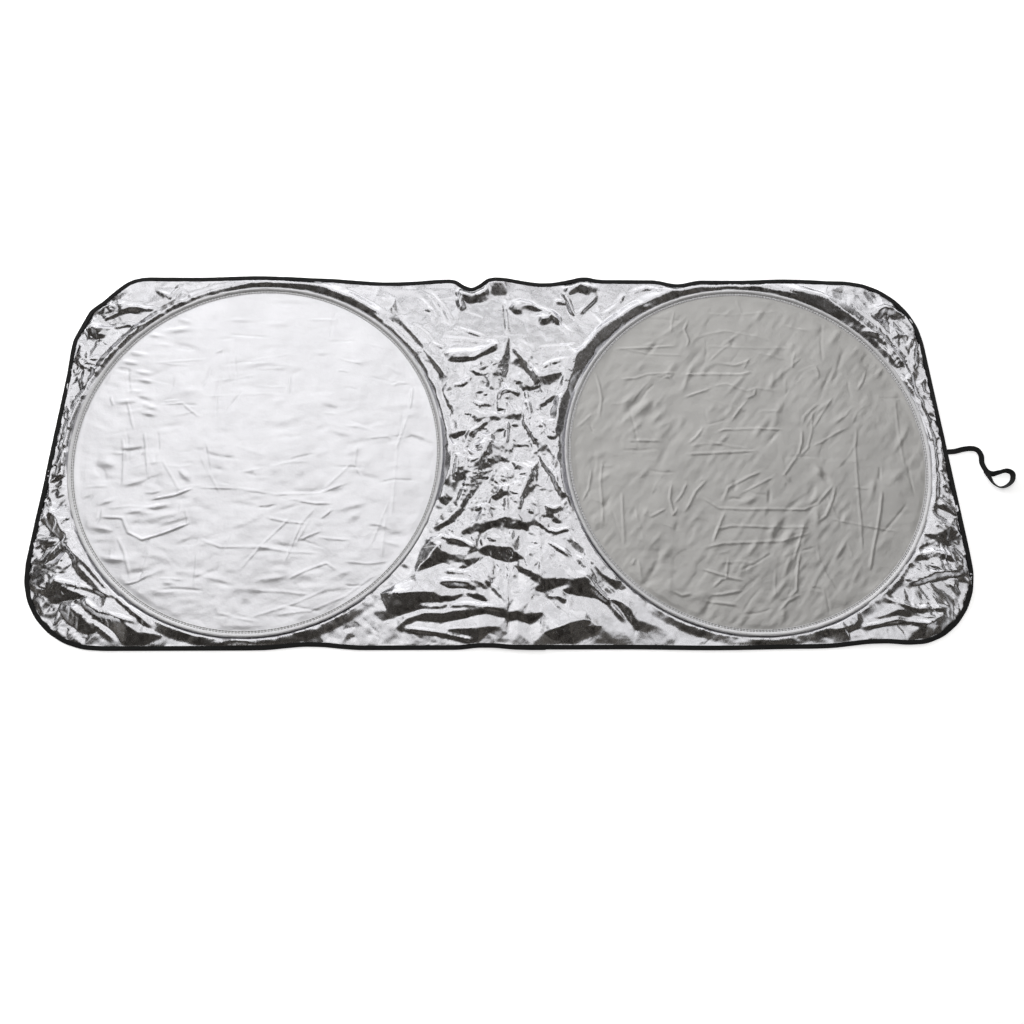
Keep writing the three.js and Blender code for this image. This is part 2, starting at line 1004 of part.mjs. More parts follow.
// Stations along the bound edge, each with its outer point, inward direction and lift.
function edgeStations() {
  const path = roundedCorners(sheetCorners());
  const fine = path.getSpacedPoints(outlinePoints).slice(0, -1);
  const pulled = fine.map((point, i) => {
    const before = fine[(i + fine.length - 1) % fine.length];
    const after = fine[(i + 1) % fine.length];
    const inside = new THREE.Vector2(before.y - after.y, after.x - before.x).normalize();
    const pull = pullAt(point);
    return { at: point.clone().addScaledVector(inside, pull.inward), lift: pull.lift };
  });
  const chosen = [];
  let walked = Infinity;
  pulled.forEach((station, i) => {
    if (i > 0) {
      walked += station.at.distanceTo(pulled[i - 1].at);
    }
    const step = nearSharpPull(station.at) ? outlineFineStep : outlineStep;
    if (walked >= step) {
      chosen.push(station);
      walked = 0;
    }
  });
  if (chosen.at(-1).at.distanceTo(chosen[0].at) < outlineFineStep / 2) {
    chosen.pop();
  }
  chosen.forEach((station, i) => {
    const before = chosen[(i + chosen.length - 1) % chosen.length].at;
    const after = chosen[(i + 1) % chosen.length].at;
    station.inside = new THREE.Vector2(before.y - after.y, after.x - before.x).normalize();
  });
  return chosen;
}

const stations = edgeStations();

// A point of the edge at a distance inward from the outer fold, at a height over its lift.
function onStation(station, inset, height) {
  const at = station.at.clone().addScaledVector(station.inside, inset);
  return new THREE.Vector3(at.x, at.y, station.lift + height);
}

// Cloth surface from scattered points

function circumcircle(a, b, c) {
  const bx = b.x - a.x;
  const by = b.y - a.y;
  const cx = c.x - a.x;
  const cy = c.y - a.y;
  const twice = 2 * (bx * cy - by * cx);
  const ux = (cy * (bx * bx + by * by) - by * (cx * cx + cy * cy)) / twice;
  const uy = (bx * (cx * cx + cy * cy) - cx * (bx * bx + by * by)) / twice;
  return { x: a.x + ux, y: a.y + uy, squared: ux * ux + uy * uy };
}

// Delaunay triangles over the points, by adding one after another. The borders stand first in the
// row and go in last, because points on one circle need others inside it to be well divided.
function triangulate(points) {
  const far = 40 * lowerHalfLength;
  const count = points.length;
  const all = [...points, { x: -far, y: -far }, { x: far, y: -far }, { x: 0, y: far }];
  const triangle = (a, b, c) => ({ corners: [a, b, c], circle: circumcircle(all[a], all[b], all[c]) });
  let triangles = [triangle(count, count + 1, count + 2)];
  for (let i = count - 1; i >= 0; i -= 1) {
    const point = all[i];
    const kept = [];
    const rim = new Map();
    for (const item of triangles) {
      const { x, y, squared } = item.circle;
      if ((point.x - x) ** 2 + (point.y - y) ** 2 < squared) {
        const [a, b, c] = item.corners;
        for (const [from, to] of [[a, b], [b, c], [c, a]]) {
          const opposite = `${to} ${from}`;
          if (rim.has(opposite)) {
            rim.delete(opposite);
          } else {
            rim.set(`${from} ${to}`, [from, to]);
          }
        }
      } else {
        kept.push(item);
      }
    }
    for (const [from, to] of rim.values()) {
      kept.push(triangle(from, to, i));
    }
    triangles = kept;
  }
  return triangles.map((item) => item.corners).filter((corners) => Math.max(...corners) < count);
}

function insidePolygon(x, y, polygon) {
  let inside = false;
  for (let i = 0, j = polygon.length - 1; i < polygon.length; j = i, i += 1) {
    const a = polygon[i];
    const b = polygon[j];
    if (a.y > y !== b.y > y && x < ((b.x - a.x) * (y - a.y)) / (b.y - a.y) + a.x) {
      inside = !inside;
    }
  }
  return inside;
}

// A loop is a ring of pairs: a point of the free border and its partner further in the cloth.
function splitPair(pair, next) {
  return {
    border: pair.border.clone().lerp(next.border, 0.5),
    inner: pair.inner.clone().lerp(next.inner, 0.5),
  };
}

function edgeLoop() {
  return stations.map((station) => ({
    border: onStation(station, bindingTape + clothSlack, sheetInBinding),
    inner: onStation(station, bindingWidth + foldStart, sheetInBinding),
  }));
}

function hemLoop(side) {
  const loop = [];
  for (let i = 0; i < hoopSteps; i += 1) {
    const angle = (-2 * Math.PI * i) / hoopSteps;
    const direction = new THREE.Vector3(Math.cos(angle), Math.sin(angle), 0);
    const centre = new THREE.Vector3(side * hoopX, 0, 0);
    loop.push({
      border: centre.clone().addScaledVector(direction, hemInnerRadius),
      inner: centre.clone().addScaledVector(direction, hemOuterRadius),
    });
  }
  return loop.flatMap((pair, i) => [pair, splitPair(pair, loop[(i + 1) % loop.length])]);
}

function inCloth(x, y, loops) {
  const [edge, ...hems] = loops.map((loop) => loop.map((pair) => pair.inner));
  return insidePolygon(x, y, edge) && !hems.some((hem) => insidePolygon(x, y, hem));
}

// True where a point would fall in the circle over a border step, which must stay one edge.
function crowdsLoop(x, y, loops) {
  return loops.some((loop) => loop.some((pair, i) => {
    const a = pair.inner;
    const b = loop[(i + 1) % loop.length].inner;
    const reach = Math.max(a.distanceTo(b) / 2 + loopRoom, leastLoopRoom);
    return Math.hypot((a.x + b.x) / 2 - x, (a.y + b.y) / 2 - y) < reach;
  }));
}

// Triangles of the cloth inside its loops. Border steps that are missing are halved first.
function clothTriangles(loops, free) {
  for (let round = 0; round < 6; round += 1) {
    const points = [...loops.flatMap((loop) => loop.map((pair) => pair.inner)), ...free];
    const helpers = [-1, 1].map((side) => ({ x: side * hoopX, y: 0 }));
    const corners = triangulate([...points, ...helpers]).filter((triangle) => {
      if (Math.max(...triangle) >= points.length) {
        return false;
      }
      const [a, b, c] = triangle.map((index) => points[index]);
      return inCloth((a.x + b.x + c.x) / 3, (a.y + b.y + c.y) / 3, loops);
    });
    const edges = new Set(corners.flatMap(([a, b, c]) => [`${a} ${b}`, `${b} ${c}`, `${c} ${a}`]));
    let start = 0;
    let missing = 0;
    const mended = loops.map((loop) => {
      const first = start;
      start += loop.length;
      return loop.flatMap((pair, i) => {
        const here = first + i;
        const next = first + ((i + 1) % loop.length);
        if (edges.has(`${here} ${next}`) || edges.has(`${next} ${here}`)) {
          return [pair];
        }
        missing += 1;
        return [pair, splitPair(pair, loop[(i + 1) % loop.length])];
      });
    });
    if (missing === 0) {
      return { points, corners, loops };
    }
    loops = mended;
  }
  throw new Error('the cloth does not close along its border');
}

// Cloth of even thickness: the surface, its underside and the wall round every border.
function clothBody(top, faces, thickness) {
  const count = top.length;
  const points = [...top.map((p) => p.clone().setZ(p.z + thickness)), ...top];
  const body = [];
  const border = new Map();
  for (const [a, b, c] of faces) {
    body.push([a, b, c], [a + count, c + count, b + count]);
    for (const [from, to] of [[a, b], [b, c], [c, a]]) {
      if (border.has(`${to} ${from}`)) {
        border.delete(`${to} ${from}`);
      } else {
        border.set(`${from} ${to}`, [from, to]);
      }
    }
  }
  for (const [from, to] of border.values()) {
    body.push([from, from + count, to + count], [from, to + count, to]);
  }
  return closedBody(points, body);
}

// Surround panel

// Points along the outline of every leaning facet, close enough for its sides to stay straight.
function facetPoints(random) {
  const points = [];
  for (const { outline } of leaningFacets) {
    outline.forEach((corner, i) => {
      const from = new THREE.Vector2(...corner);
      const to = new THREE.Vector2(...outline[(i + 1) % outline.length]);
      const parts = Math.max(1, Math.round(from.distanceTo(to) / foldStep));
      for (let k = 0; k < parts; k += 1) {
        const at = from.clone().lerp(to, k / parts);
        points.push(new THREE.Vector3(at.x + random() - 0.5, at.y + random() - 0.5, restHeight));
      }
    });
  }
  return points;
}

// How tightly the cloth is crumpled: 1 between the hoops and least in the large upper facets.
function tightness(x, y) {
  const fromCalmX = (x - calmPlace.x) / calmPlace.halfLength;
  const fromCalmY = (y - calmPlace.y) / calmPlace.halfWidth;
  const fromTightX = x / tightPlace.halfLength;
  const fromTightY = (y - tightPlace.y) / tightPlace.halfWidth;
  const calm = Math.exp(-(fromCalmX ** 2) - fromCalmY ** 2);
  const tight = Math.exp(-(fromTightX ** 4) - fromTightY ** 4);
  return THREE.MathUtils.clamp(tight - calm * calmPlace.share, -1, 1);
}

// Seeded points spread over the cloth, with a gap that depends on the place.
function spread(points, loops, spacing, random) {
  const added = [];
  for (let i = 0; i < spreadTries; i += 1) {
    const x = (2 * random() - 1) * lowerHalfLength;
    const y = (2 * random() - 1) * halfWidth;
    const gap = spacing(x, y);
    const clear = (other) => Math.hypot(other.x - x, other.y - y) >= gap;
    const allowed = inCloth(x, y, loops) && !crowdsLoop(x, y, loops);
    if (allowed && points.every(clear) && added.every(clear)) {
      added.push(new THREE.Vector3(x, y, restHeight));
    }
  }
  return added;
}

function thinned(points, gap) {
  const kept = [];
  for (const point of points) {
    if (kept.every((other) => Math.hypot(other.x - point.x, other.y - point.y) >= gap)) {
      kept.push(point);
    }
  }
  return kept;
}

// Each facet leans across its length, so its slope points to the longer side further up.
const leans = leaningFacets.map(({ outline, slope = foldSlope }) => {
  const corners = outline.map(([x, y]) => ({ x, y }));
  const mean = (value) => corners.reduce((sum, corner) => sum + value(corner), 0) / corners.length;
  const middle = { x: mean(({ x }) => x), y: mean(({ y }) => y) };
  const alongX = mean(({ x }) => (x - middle.x) ** 2);
  const alongY = mean(({ y }) => (y - middle.y) ** 2);
  const both = mean(({ x, y }) => (x - middle.x) * (y - middle.y));
  const turn = Math.atan2(2 * both, alongX - alongY) / 2;
  const up = Math.cos(turn) < 0 ? -1 : 1;
  const across = { x: -Math.sin(turn) * up, y: Math.cos(turn) * up };
  const steep = slope / Math.max(across.y, leastUpward);
  return { corners, slope: { x: steep * across.x, y: steep * across.y, hold: foldHold } };
});

// Slope of the cloth along X and Y at a place, and how firmly it is kept.
function slopeAt(x, y) {
  const facet = leans.find(({ corners }) => insidePolygon(x, y, corners));
  return facet?.slope ?? { x: 0, y: restSlope, hold: 1 };
}

// Lifts the free points until each triangle leans as near as it can to the slope of its place.
// The loops stay where they are, and the rest lies between the ground and the highest fold.
function settle(points, corners, fixed) {
  const rows = points.map(() => ({ own: 0, pull: 0, others: new Map() }));
  for (const triangle of corners) {
    const [a, b, c] = triangle.map((index) => points[index]);
    const area = ((b.x - a.x) * (c.y - a.y) - (b.y - a.y) * (c.x - a.x)) / 2;
    const slope = slopeAt((a.x + b.x + c.x) / 3, (a.y + b.y + c.y) / 3);
    const tilts = [[b, c], [c, a], [a, b]].map(([p, q]) => {
      return { x: (p.y - q.y) / (2 * area), y: (q.x - p.x) / (2 * area) };
    });
    const along = area * slope.hold;
    const across = along * acrossHold;
    const rest = area / (3 * restReach * restReach);
    triangle.forEach((index, i) => {
      const row = rows[index];
      row.own += across * tilts[i].x ** 2 + along * tilts[i].y ** 2 + rest;
      row.pull += across * slope.x * tilts[i].x + along * slope.y * tilts[i].y + rest * restHeight;
      triangle.forEach((other, j) => {
        if (j !== i) {
          const weight = across * tilts[i].x * tilts[j].x + along * tilts[i].y * tilts[j].y;
          row.others.set(other, (row.others.get(other) ?? 0) + weight);
        }
      });
    });
  }
  for (let round = 0; round < settleRounds; round += 1) {
    for (let i = fixed; i < points.length; i += 1) {
      let { pull } = rows[i];
      for (const [other, weight] of rows[i].others) {
        pull -= weight * points[other].z;
      }
      const level = points[i].z + overshoot * (pull / rows[i].own - points[i].z);
      points[i].z = THREE.MathUtils.clamp(level, lowestFold, highestFold);
    }
  }
}

function surroundGeometry() {
  const random = seededRandom(41);
  const loops = [edgeLoop(), hemLoop(-1), hemLoop(1)];
  const folds = thinned(
    facetPoints(random).filter(({ x, y }) => inCloth(x, y, loops) && !crowdsLoop(x, y, loops)),
    nearestFoldPoints,
  );
  const spacing = (x, y) => {
    const tight = tightness(x, y);
    const wide = tight < 0 ? calmFacetSize : facetSize;
    return THREE.MathUtils.lerp(wide, tightFacetSize, Math.max(tight, 0)) * leastGap;
  };
  const filling = spread(folds, loops, spacing, random);
  const cloth = clothTriangles(loops, [...folds, ...filling]);
  settle(cloth.points, cloth.corners, cloth.points.length - folds.length - filling.length);
  for (const point of filling) {
    const tight = tightness(point.x, point.y);
    const extreme = tight < 0 ? calmFacetHeight : tightFacetHeight;
    const height = THREE.MathUtils.lerp(facetHeight, extreme, Math.abs(tight));
    const level = point.z + (2 * random() - 1) * height;
    point.z = THREE.MathUtils.clamp(level, lowestFold + random(), highestFold);
  }
  const faces = [...cloth.corners];
  const points = [...cloth.points];
  let start = 0;
  for (const loop of cloth.loops) {
    const border = points.length;
    points.push(...loop.map((pair) => pair.border));
    loop.forEach((pair, i) => {
      const next = (i + 1) % loop.length;
      faces.push([start + i, border + i, border + next], [start + i, border + next, start + next]);
    });
    start += loop.length;
  }
  return clothBody(points, faces, clothThickness);
}

// Disc panels

function discGeometry(side) {
  const random = seededRandom(side < 0 ? 7 : 19);
  const rim = [];
  for (let i = 0; i < hoopSteps; i += 1) {
    const angle = (2 * Math.PI * i) / hoopSteps;
    rim.push(new THREE.Vector3(discRadius * Math.cos(angle), discRadius * Math.sin(angle), discHeight));
  }
  const inner = [];
  const reach = hemInnerRadius - discFacetSize / 2;
  for (let i = 0; i < discTries; i += 1) {
    const angle = 2 * Math.PI * random();
    const radius = reach * Math.sqrt(random());
    const point = new THREE.Vector3(radius * Math.cos(angle), radius * Math.sin(angle), discHeight);
    if (inner.every((other) => other.distanceTo(point) > discFacetSize * leastGap)) {
      inner.push(point);
    }
  }
  for (const point of inner) {
    point.z += discWrinkle * (2 * random() - 1);
  }
  const points = [...rim, ...inner];
  const body = clothBody(points, triangulate(points), clothThickness);
  return body.translate(side * hoopX, 0, 0);
}

// Hoop casings, wires and ferrules

function ringSection(profile, angle) {
  return profile.map(({ x, y }) => new THREE.Vector3(x * Math.cos(angle), x * Math.sin(angle), y));
}

// Folded tape: a lower and an upper ply that hold the disc cloth, and a round fold over the wire.
function casingProfile() {
  const inner = channelHeight / 2;
  const outer = inner + casingTape;
  const centre = hoopRadius - outer;
  const facet = Math.tan(Math.PI / 8);
  const plyTop = discHeight + clothThickness + clearance;
  const point = (x, y) => new THREE.Vector2(centre + x, wireHeight + y);
  const ply = (height) => new THREE.Vector2(hemInnerRadius, height);
  return [
    ply(casingBase),
    point(outer * facet, -outer),
    point(outer, -outer * facet),
    point(outer, outer * facet),
    point(outer * facet, outer),
    point(-outer * 0.3, outer),
    point(-inner * casingShoulder, casingTape * 1.2),
    ply(plyTop + casingTape),
    ply(plyTop),
    point(-inner * casingShoulder, casingTape * 0.2),
    point(-inner * 0.3, inner),
    point(inner * facet, inner),
    point(inner, inner * facet),
    point(inner, -inner * facet),
    point(inner * facet, -inner),
    ply(casingBase + casingTape),
  ];
}

function casingGeometry(side) {
  const profile = casingProfile();
  const sections = [];
  for (let i = 0; i < hoopSteps; i += 1) {
    sections.push(ringSection(profile, (2 * Math.PI * i) / hoopSteps));
  }
  return loft(sections, true, profile).translate(side * hoopX, 0, 0);
}

function roundProfile(radius, sides) {
  return Array.from({ length: sides }, (_, i) => {
    const angle = (2 * Math.PI * (i + 0.5)) / sides;
    return new THREE.Vector2(radius * Math.cos(angle), radius * Math.sin(angle));
  });
}

// The wire is a ring with its two ends butted in the ferrule, at the middle of one step.
function wireGeometry(side) {
  const profile = roundProfile(wireDiameter / 2, wireSides);
  const placed = profile.map(({ x, y }) => new THREE.Vector2(wireRadius + x, wireHeight + y));
  const joint = radians(ferruleAngle);
  const half = Math.PI / hoopSteps;
  const sections = [];
  for (let i = 0; i < hoopSteps; i += 1) {
    sections.push(ringSection(placed, joint + half + (2 * Math.PI * i) / hoopSteps));
  }
  const share = 0.5 - wireEndGap / (4 * half * wireRadius);
  const between = (from, to) => from.map((point, i) => point.clone().lerp(to[i], share));
  const startEnd = between(sections[0], sections.at(-1));
  const finishEnd = between(sections.at(-1), sections[0]);
  return loft([startEnd, ...sections, finishEnd], false, placed).translate(side * hoopX, 0, 0);
}

function ferruleGeometry(side) {
  const outer = roundProfile(ferruleOuter, 12);
  const bore = roundProfile(wireDiameter / 2 + clearance, 12);
  const shape = new THREE.Shape(outer);
  shape.holes.push(new THREE.Path(bore));
  const geometry = new THREE.ExtrudeGeometry(shape, { depth: ferruleLength, bevelEnabled: false });
  const chordRadius = wireRadius * Math.cos(Math.PI / hoopSteps);
  geometry.translate(0, 0, -ferruleLength / 2);
  geometry.rotateX(Math.PI / 2);
  geometry.translate(chordRadius, 0, wireHeight);
  geometry.rotateZ(radians(ferruleAngle));
  return geometry.translate(side * hoopX, 0, 0);
}

// Edge binding

// Folded tape over the cloth's edge. Grown outward, it takes in a first layer of the same tape.
function bindingProfile(grow) {
  const low = -grow;
  const high = bindingHeight + grow;
  const point = (x, y) => new THREE.Vector2(x, y);
  return [
    point(bindingWidth, low),
    point(bindingFold - grow, low),
    point(-grow, bindingHeight / 2),
    point(bindingFold - grow, high),
    point(bindingWidth, high),
    point(bindingWidth, high - bindingTape),
    point(bindingTape - grow, high - bindingTape),
    point(bindingTape - grow, low + bindingTape),
    point(bindingWidth, low + bindingTape),
  ];
}

// The station a distance past the first one of a row.
function stationPast(row, distance) {
  let left = distance;
  let i = 0;
  while (left > row[i].at.distanceTo(row[i + 1].at)) {
    left -= row[i].at.distanceTo(row[i + 1].at);
    i += 1;
  }
  const share = left / row[i].at.distanceTo(row[i + 1].at);
  return {
    at: row[i].at.clone().lerp(row[i + 1].at, share),
    inside: row[i].inside.clone().lerp(row[i + 1].inside, share).normalize(),
    lift: THREE.MathUtils.lerp(row[i].lift, row[i + 1].lift, share),
  };
}

// The tape runs once round the sheet from the lower edge, and its end laps over its start.
function bindingGeometry() {
  const start = stations.findIndex((station) => station.at.x > bindingLapAt && station.at.y < 0);
  const row = stations.map((_, i) => stations[(i + start) % stations.length]);
  const section = (station, grow) => {
    return bindingProfile(grow).map(({ x, y }) => onStation(station, x, y));
  };
  const overlap = bindingTape + clearance;
  const closing = stationPast([row.at(-1), row[0]], row.at(-1).at.distanceTo(row[0].at) * 0.85);
  const sections = [
    ...row.map((station) => section(station, 0)),
    section(closing, overlap),
    section(row[0], overlap),
    section(stationPast(row, bindingLap), overlap),
  ];
  return loft(sections, false, bindingProfile(0));
}

// Closure strap

// How far out the bound edge stands at the right end, at a distance along Y.
function rightEdge(y) {
  const right = stations.filter((station) => station.at.x > hoopX);
  const nearest = right.sort((a, b) => Math.abs(a.at.y - y) - Math.abs(b.at.y - y));
  const [a, b] = nearest;
  return THREE.MathUtils.mapLinear(y, a.at.y, b.at.y, a.at.x, b.at.x);
}

function strapGeometry() {
  const face = Math.max(rightEdge(strapAt - strapWidth / 2), rightEdge(strapAt + strapWidth / 2));
  const curve = new THREE.CatmullRomCurve3(strapLine.map(({ at }) => new THREE.Vector3(...at)));
  const steps = 3 * (strapLine.length - 1);
  const sections = [];
  for (let i = 0; i <= steps; i += 1) {
    const along = i / steps;
    const place = along * (strapLine.length - 1);
    const before = strapLine[Math.floor(place)];
    const after = strapLine[Math.ceil(place)];
    const turn = radians(THREE.MathUtils.lerp(before.turn, after.turn, place % 1));
    const middle = curve.getPoint(along);
    const tangent = curve.getTangent(along);
    const left = new THREE.Vector3(-tangent.y, tangent.x, 0).normalize();
    const up = new THREE.Vector3().crossVectors(tangent, left);
    const across = left.clone().multiplyScalar(Math.cos(turn)).addScaledVector(up, Math.sin(turn));
    const through = up.multiplyScalar(Math.cos(turn)).addScaledVector(left, -Math.sin(turn));
    const rest = (strapWidth / 2) * Math.abs(across.z) + (strapThickness / 2) * Math.abs(through.z);
    middle.z += rest + strapRest;
    middle.x += face + clearance;
    middle.y += strapAt;
    const corner = (w, t) => {
      return middle.clone().addScaledVector(across, (w * strapWidth) / 2)
        .addScaledVector(through, (t * strapThickness) / 2);
    };
    sections.push([corner(-1, -1), corner(1, -1), corner(1, 1), corner(-1, 1)]);
  }
  const profile = [[-1, -1], [1, -1], [1, 1], [-1, 1]].map(([x, y]) => new THREE.Vector2(x, y));
  return loft(sections, false, profile);
}

// The sunshade

function piece(name, geometry, finish) {
  const mesh = new THREE.Mesh(geometry, new THREE.MeshStandardMaterial(finish));
  mesh.name = name;
  return mesh;
}

function hoop(side, name) {
  const group = new THREE.Group();
  group.add(
    piece(`${name}_disc_panel`, discGeometry(side), clothFinish),
    piece(`${name}_hoop_casing`, casingGeometry(side), tapeFinish),
    piece(`${name}_hoop_wire`, wireGeometry(side), steelFinish),
    piece(`${name}_hoop_ferrule`, ferruleGeometry(side), steelFinish),
  );
  return group;
}

const sunshade = new THREE.Group();
sunshade.add(
  piece('surround_panel', surroundGeometry(), clothFinish),
  hoop(-1, 'left'),
  hoop(1, 'right'),
  piece('edge_binding', bindingGeometry(), bindingFinish),
  piece('closure_strap', strapGeometry(), bindingFinish),
);

export default sunshade;
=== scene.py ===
"""Folding windscreen sunshade: crumpled metallised cloth, two sprung hoops, bound edge, elastic strap.

Lengths in the tables are millimetres, and the scene is in metres.
"""

import math

import bmesh
import bpy
import numpy as np
from bpy.props import FloatProperty, FloatVectorProperty, IntProperty, PointerProperty
from mathutils import Matrix, Vector
from mathutils.kdtree import KDTree


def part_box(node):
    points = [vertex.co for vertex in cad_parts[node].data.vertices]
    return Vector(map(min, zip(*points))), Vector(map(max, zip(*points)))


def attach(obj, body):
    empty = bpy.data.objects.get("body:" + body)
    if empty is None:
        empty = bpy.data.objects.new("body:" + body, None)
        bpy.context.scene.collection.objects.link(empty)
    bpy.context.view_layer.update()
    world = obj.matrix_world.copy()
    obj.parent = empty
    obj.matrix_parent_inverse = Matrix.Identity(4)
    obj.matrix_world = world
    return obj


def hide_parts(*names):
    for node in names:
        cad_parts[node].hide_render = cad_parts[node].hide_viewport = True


bl_info = {
    "name": "Windscreen Sunshade",
    "version": (1, 0, 0),
    "blender": (4, 5, 0),
    "location": "3D View > Sidebar > Sunshade",
    "description": "Builds a folding windscreen sunshade of metallised cloth on its frame",
    "category": "Object",
}

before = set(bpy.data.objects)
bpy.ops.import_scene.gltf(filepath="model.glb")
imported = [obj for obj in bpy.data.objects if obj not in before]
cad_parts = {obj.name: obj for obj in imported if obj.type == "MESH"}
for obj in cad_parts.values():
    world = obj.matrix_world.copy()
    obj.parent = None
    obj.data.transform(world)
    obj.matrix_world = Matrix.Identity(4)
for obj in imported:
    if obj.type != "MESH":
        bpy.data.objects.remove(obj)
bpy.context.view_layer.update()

MM = 0.001
ROOT = "root"
SIDES = {"left": -1, "right": 1}

# Sizes shared with the solids
HOOP_RADIUS = 305.0
HOOP_X = 405.0
CASING_WIDTH = 10.5
TAPE = 0.5
CLOTH = 0.4
GAP = 0.25
CHANNEL = 3.9
WIRE_RADIUS = 1.0
SLEEVE_RADIUS = WIRE_RADIUS + 0.7
SLEEVE_HALF = 7.0
FERRULE_ANGLE = 57.0
STRAP_AT = 3.0
STRAP_WIDTH = 9.0
STRAP_THICKNESS = 1.2
STRAP_REST = 0.1

# Heights and places that follow from them
CASING_INNER = HOOP_RADIUS - CASING_WIDTH
WIRE_RING = HOOP_RADIUS - TAPE - CHANNEL / 2
WIRE_HEIGHT = CLOTH + GAP + TAPE + CHANNEL / 2
DISC_TOP = CLOTH + GAP + TAPE + GAP + CLOTH
CASING_OUTER = CHANNEL / 2 + TAPE
BEAD = CASING_WIDTH - CASING_OUTER
PLY_TOP = DISC_TOP + GAP + TAPE

# How much the casing's crown is flattened, where its sewn plies end, and its two rows of stitches
BEAD_FLAT = 0.6
CROWN = WIRE_HEIGHT + CASING_OUTER - BEAD_FLAT
SEAM = 2.0
STITCH_ROWS = (1.3, 3.6)

# Middle line of the closure strap, with the turn of the tape about its own length.
STRAP_LINE = [
    (0, 0, 0.45, 0),
    (12, 1, 0.8, 6),
    (26, 4, 2, 14),
    (40, 5, 3, 10),
    (50, 2, 2, 6),
    (55, -7, 0.8, 4),
    (55, -20, 0, 0),
    (60, -33, 0, 0),
    (68, -39, 0, 24),
    (79, -37, 0, 48),
    (92, -34, 0, 55),
    (101, -39, 0, 55),
    (99, -51, 0, 55),
    (89, -60, 0, 55),
    (77, -63, 0, 52),
    (67, -56, 0.5, 36),
    (62, -45, 1.6, 14),
    (58, -34, 1.6, 0),
]

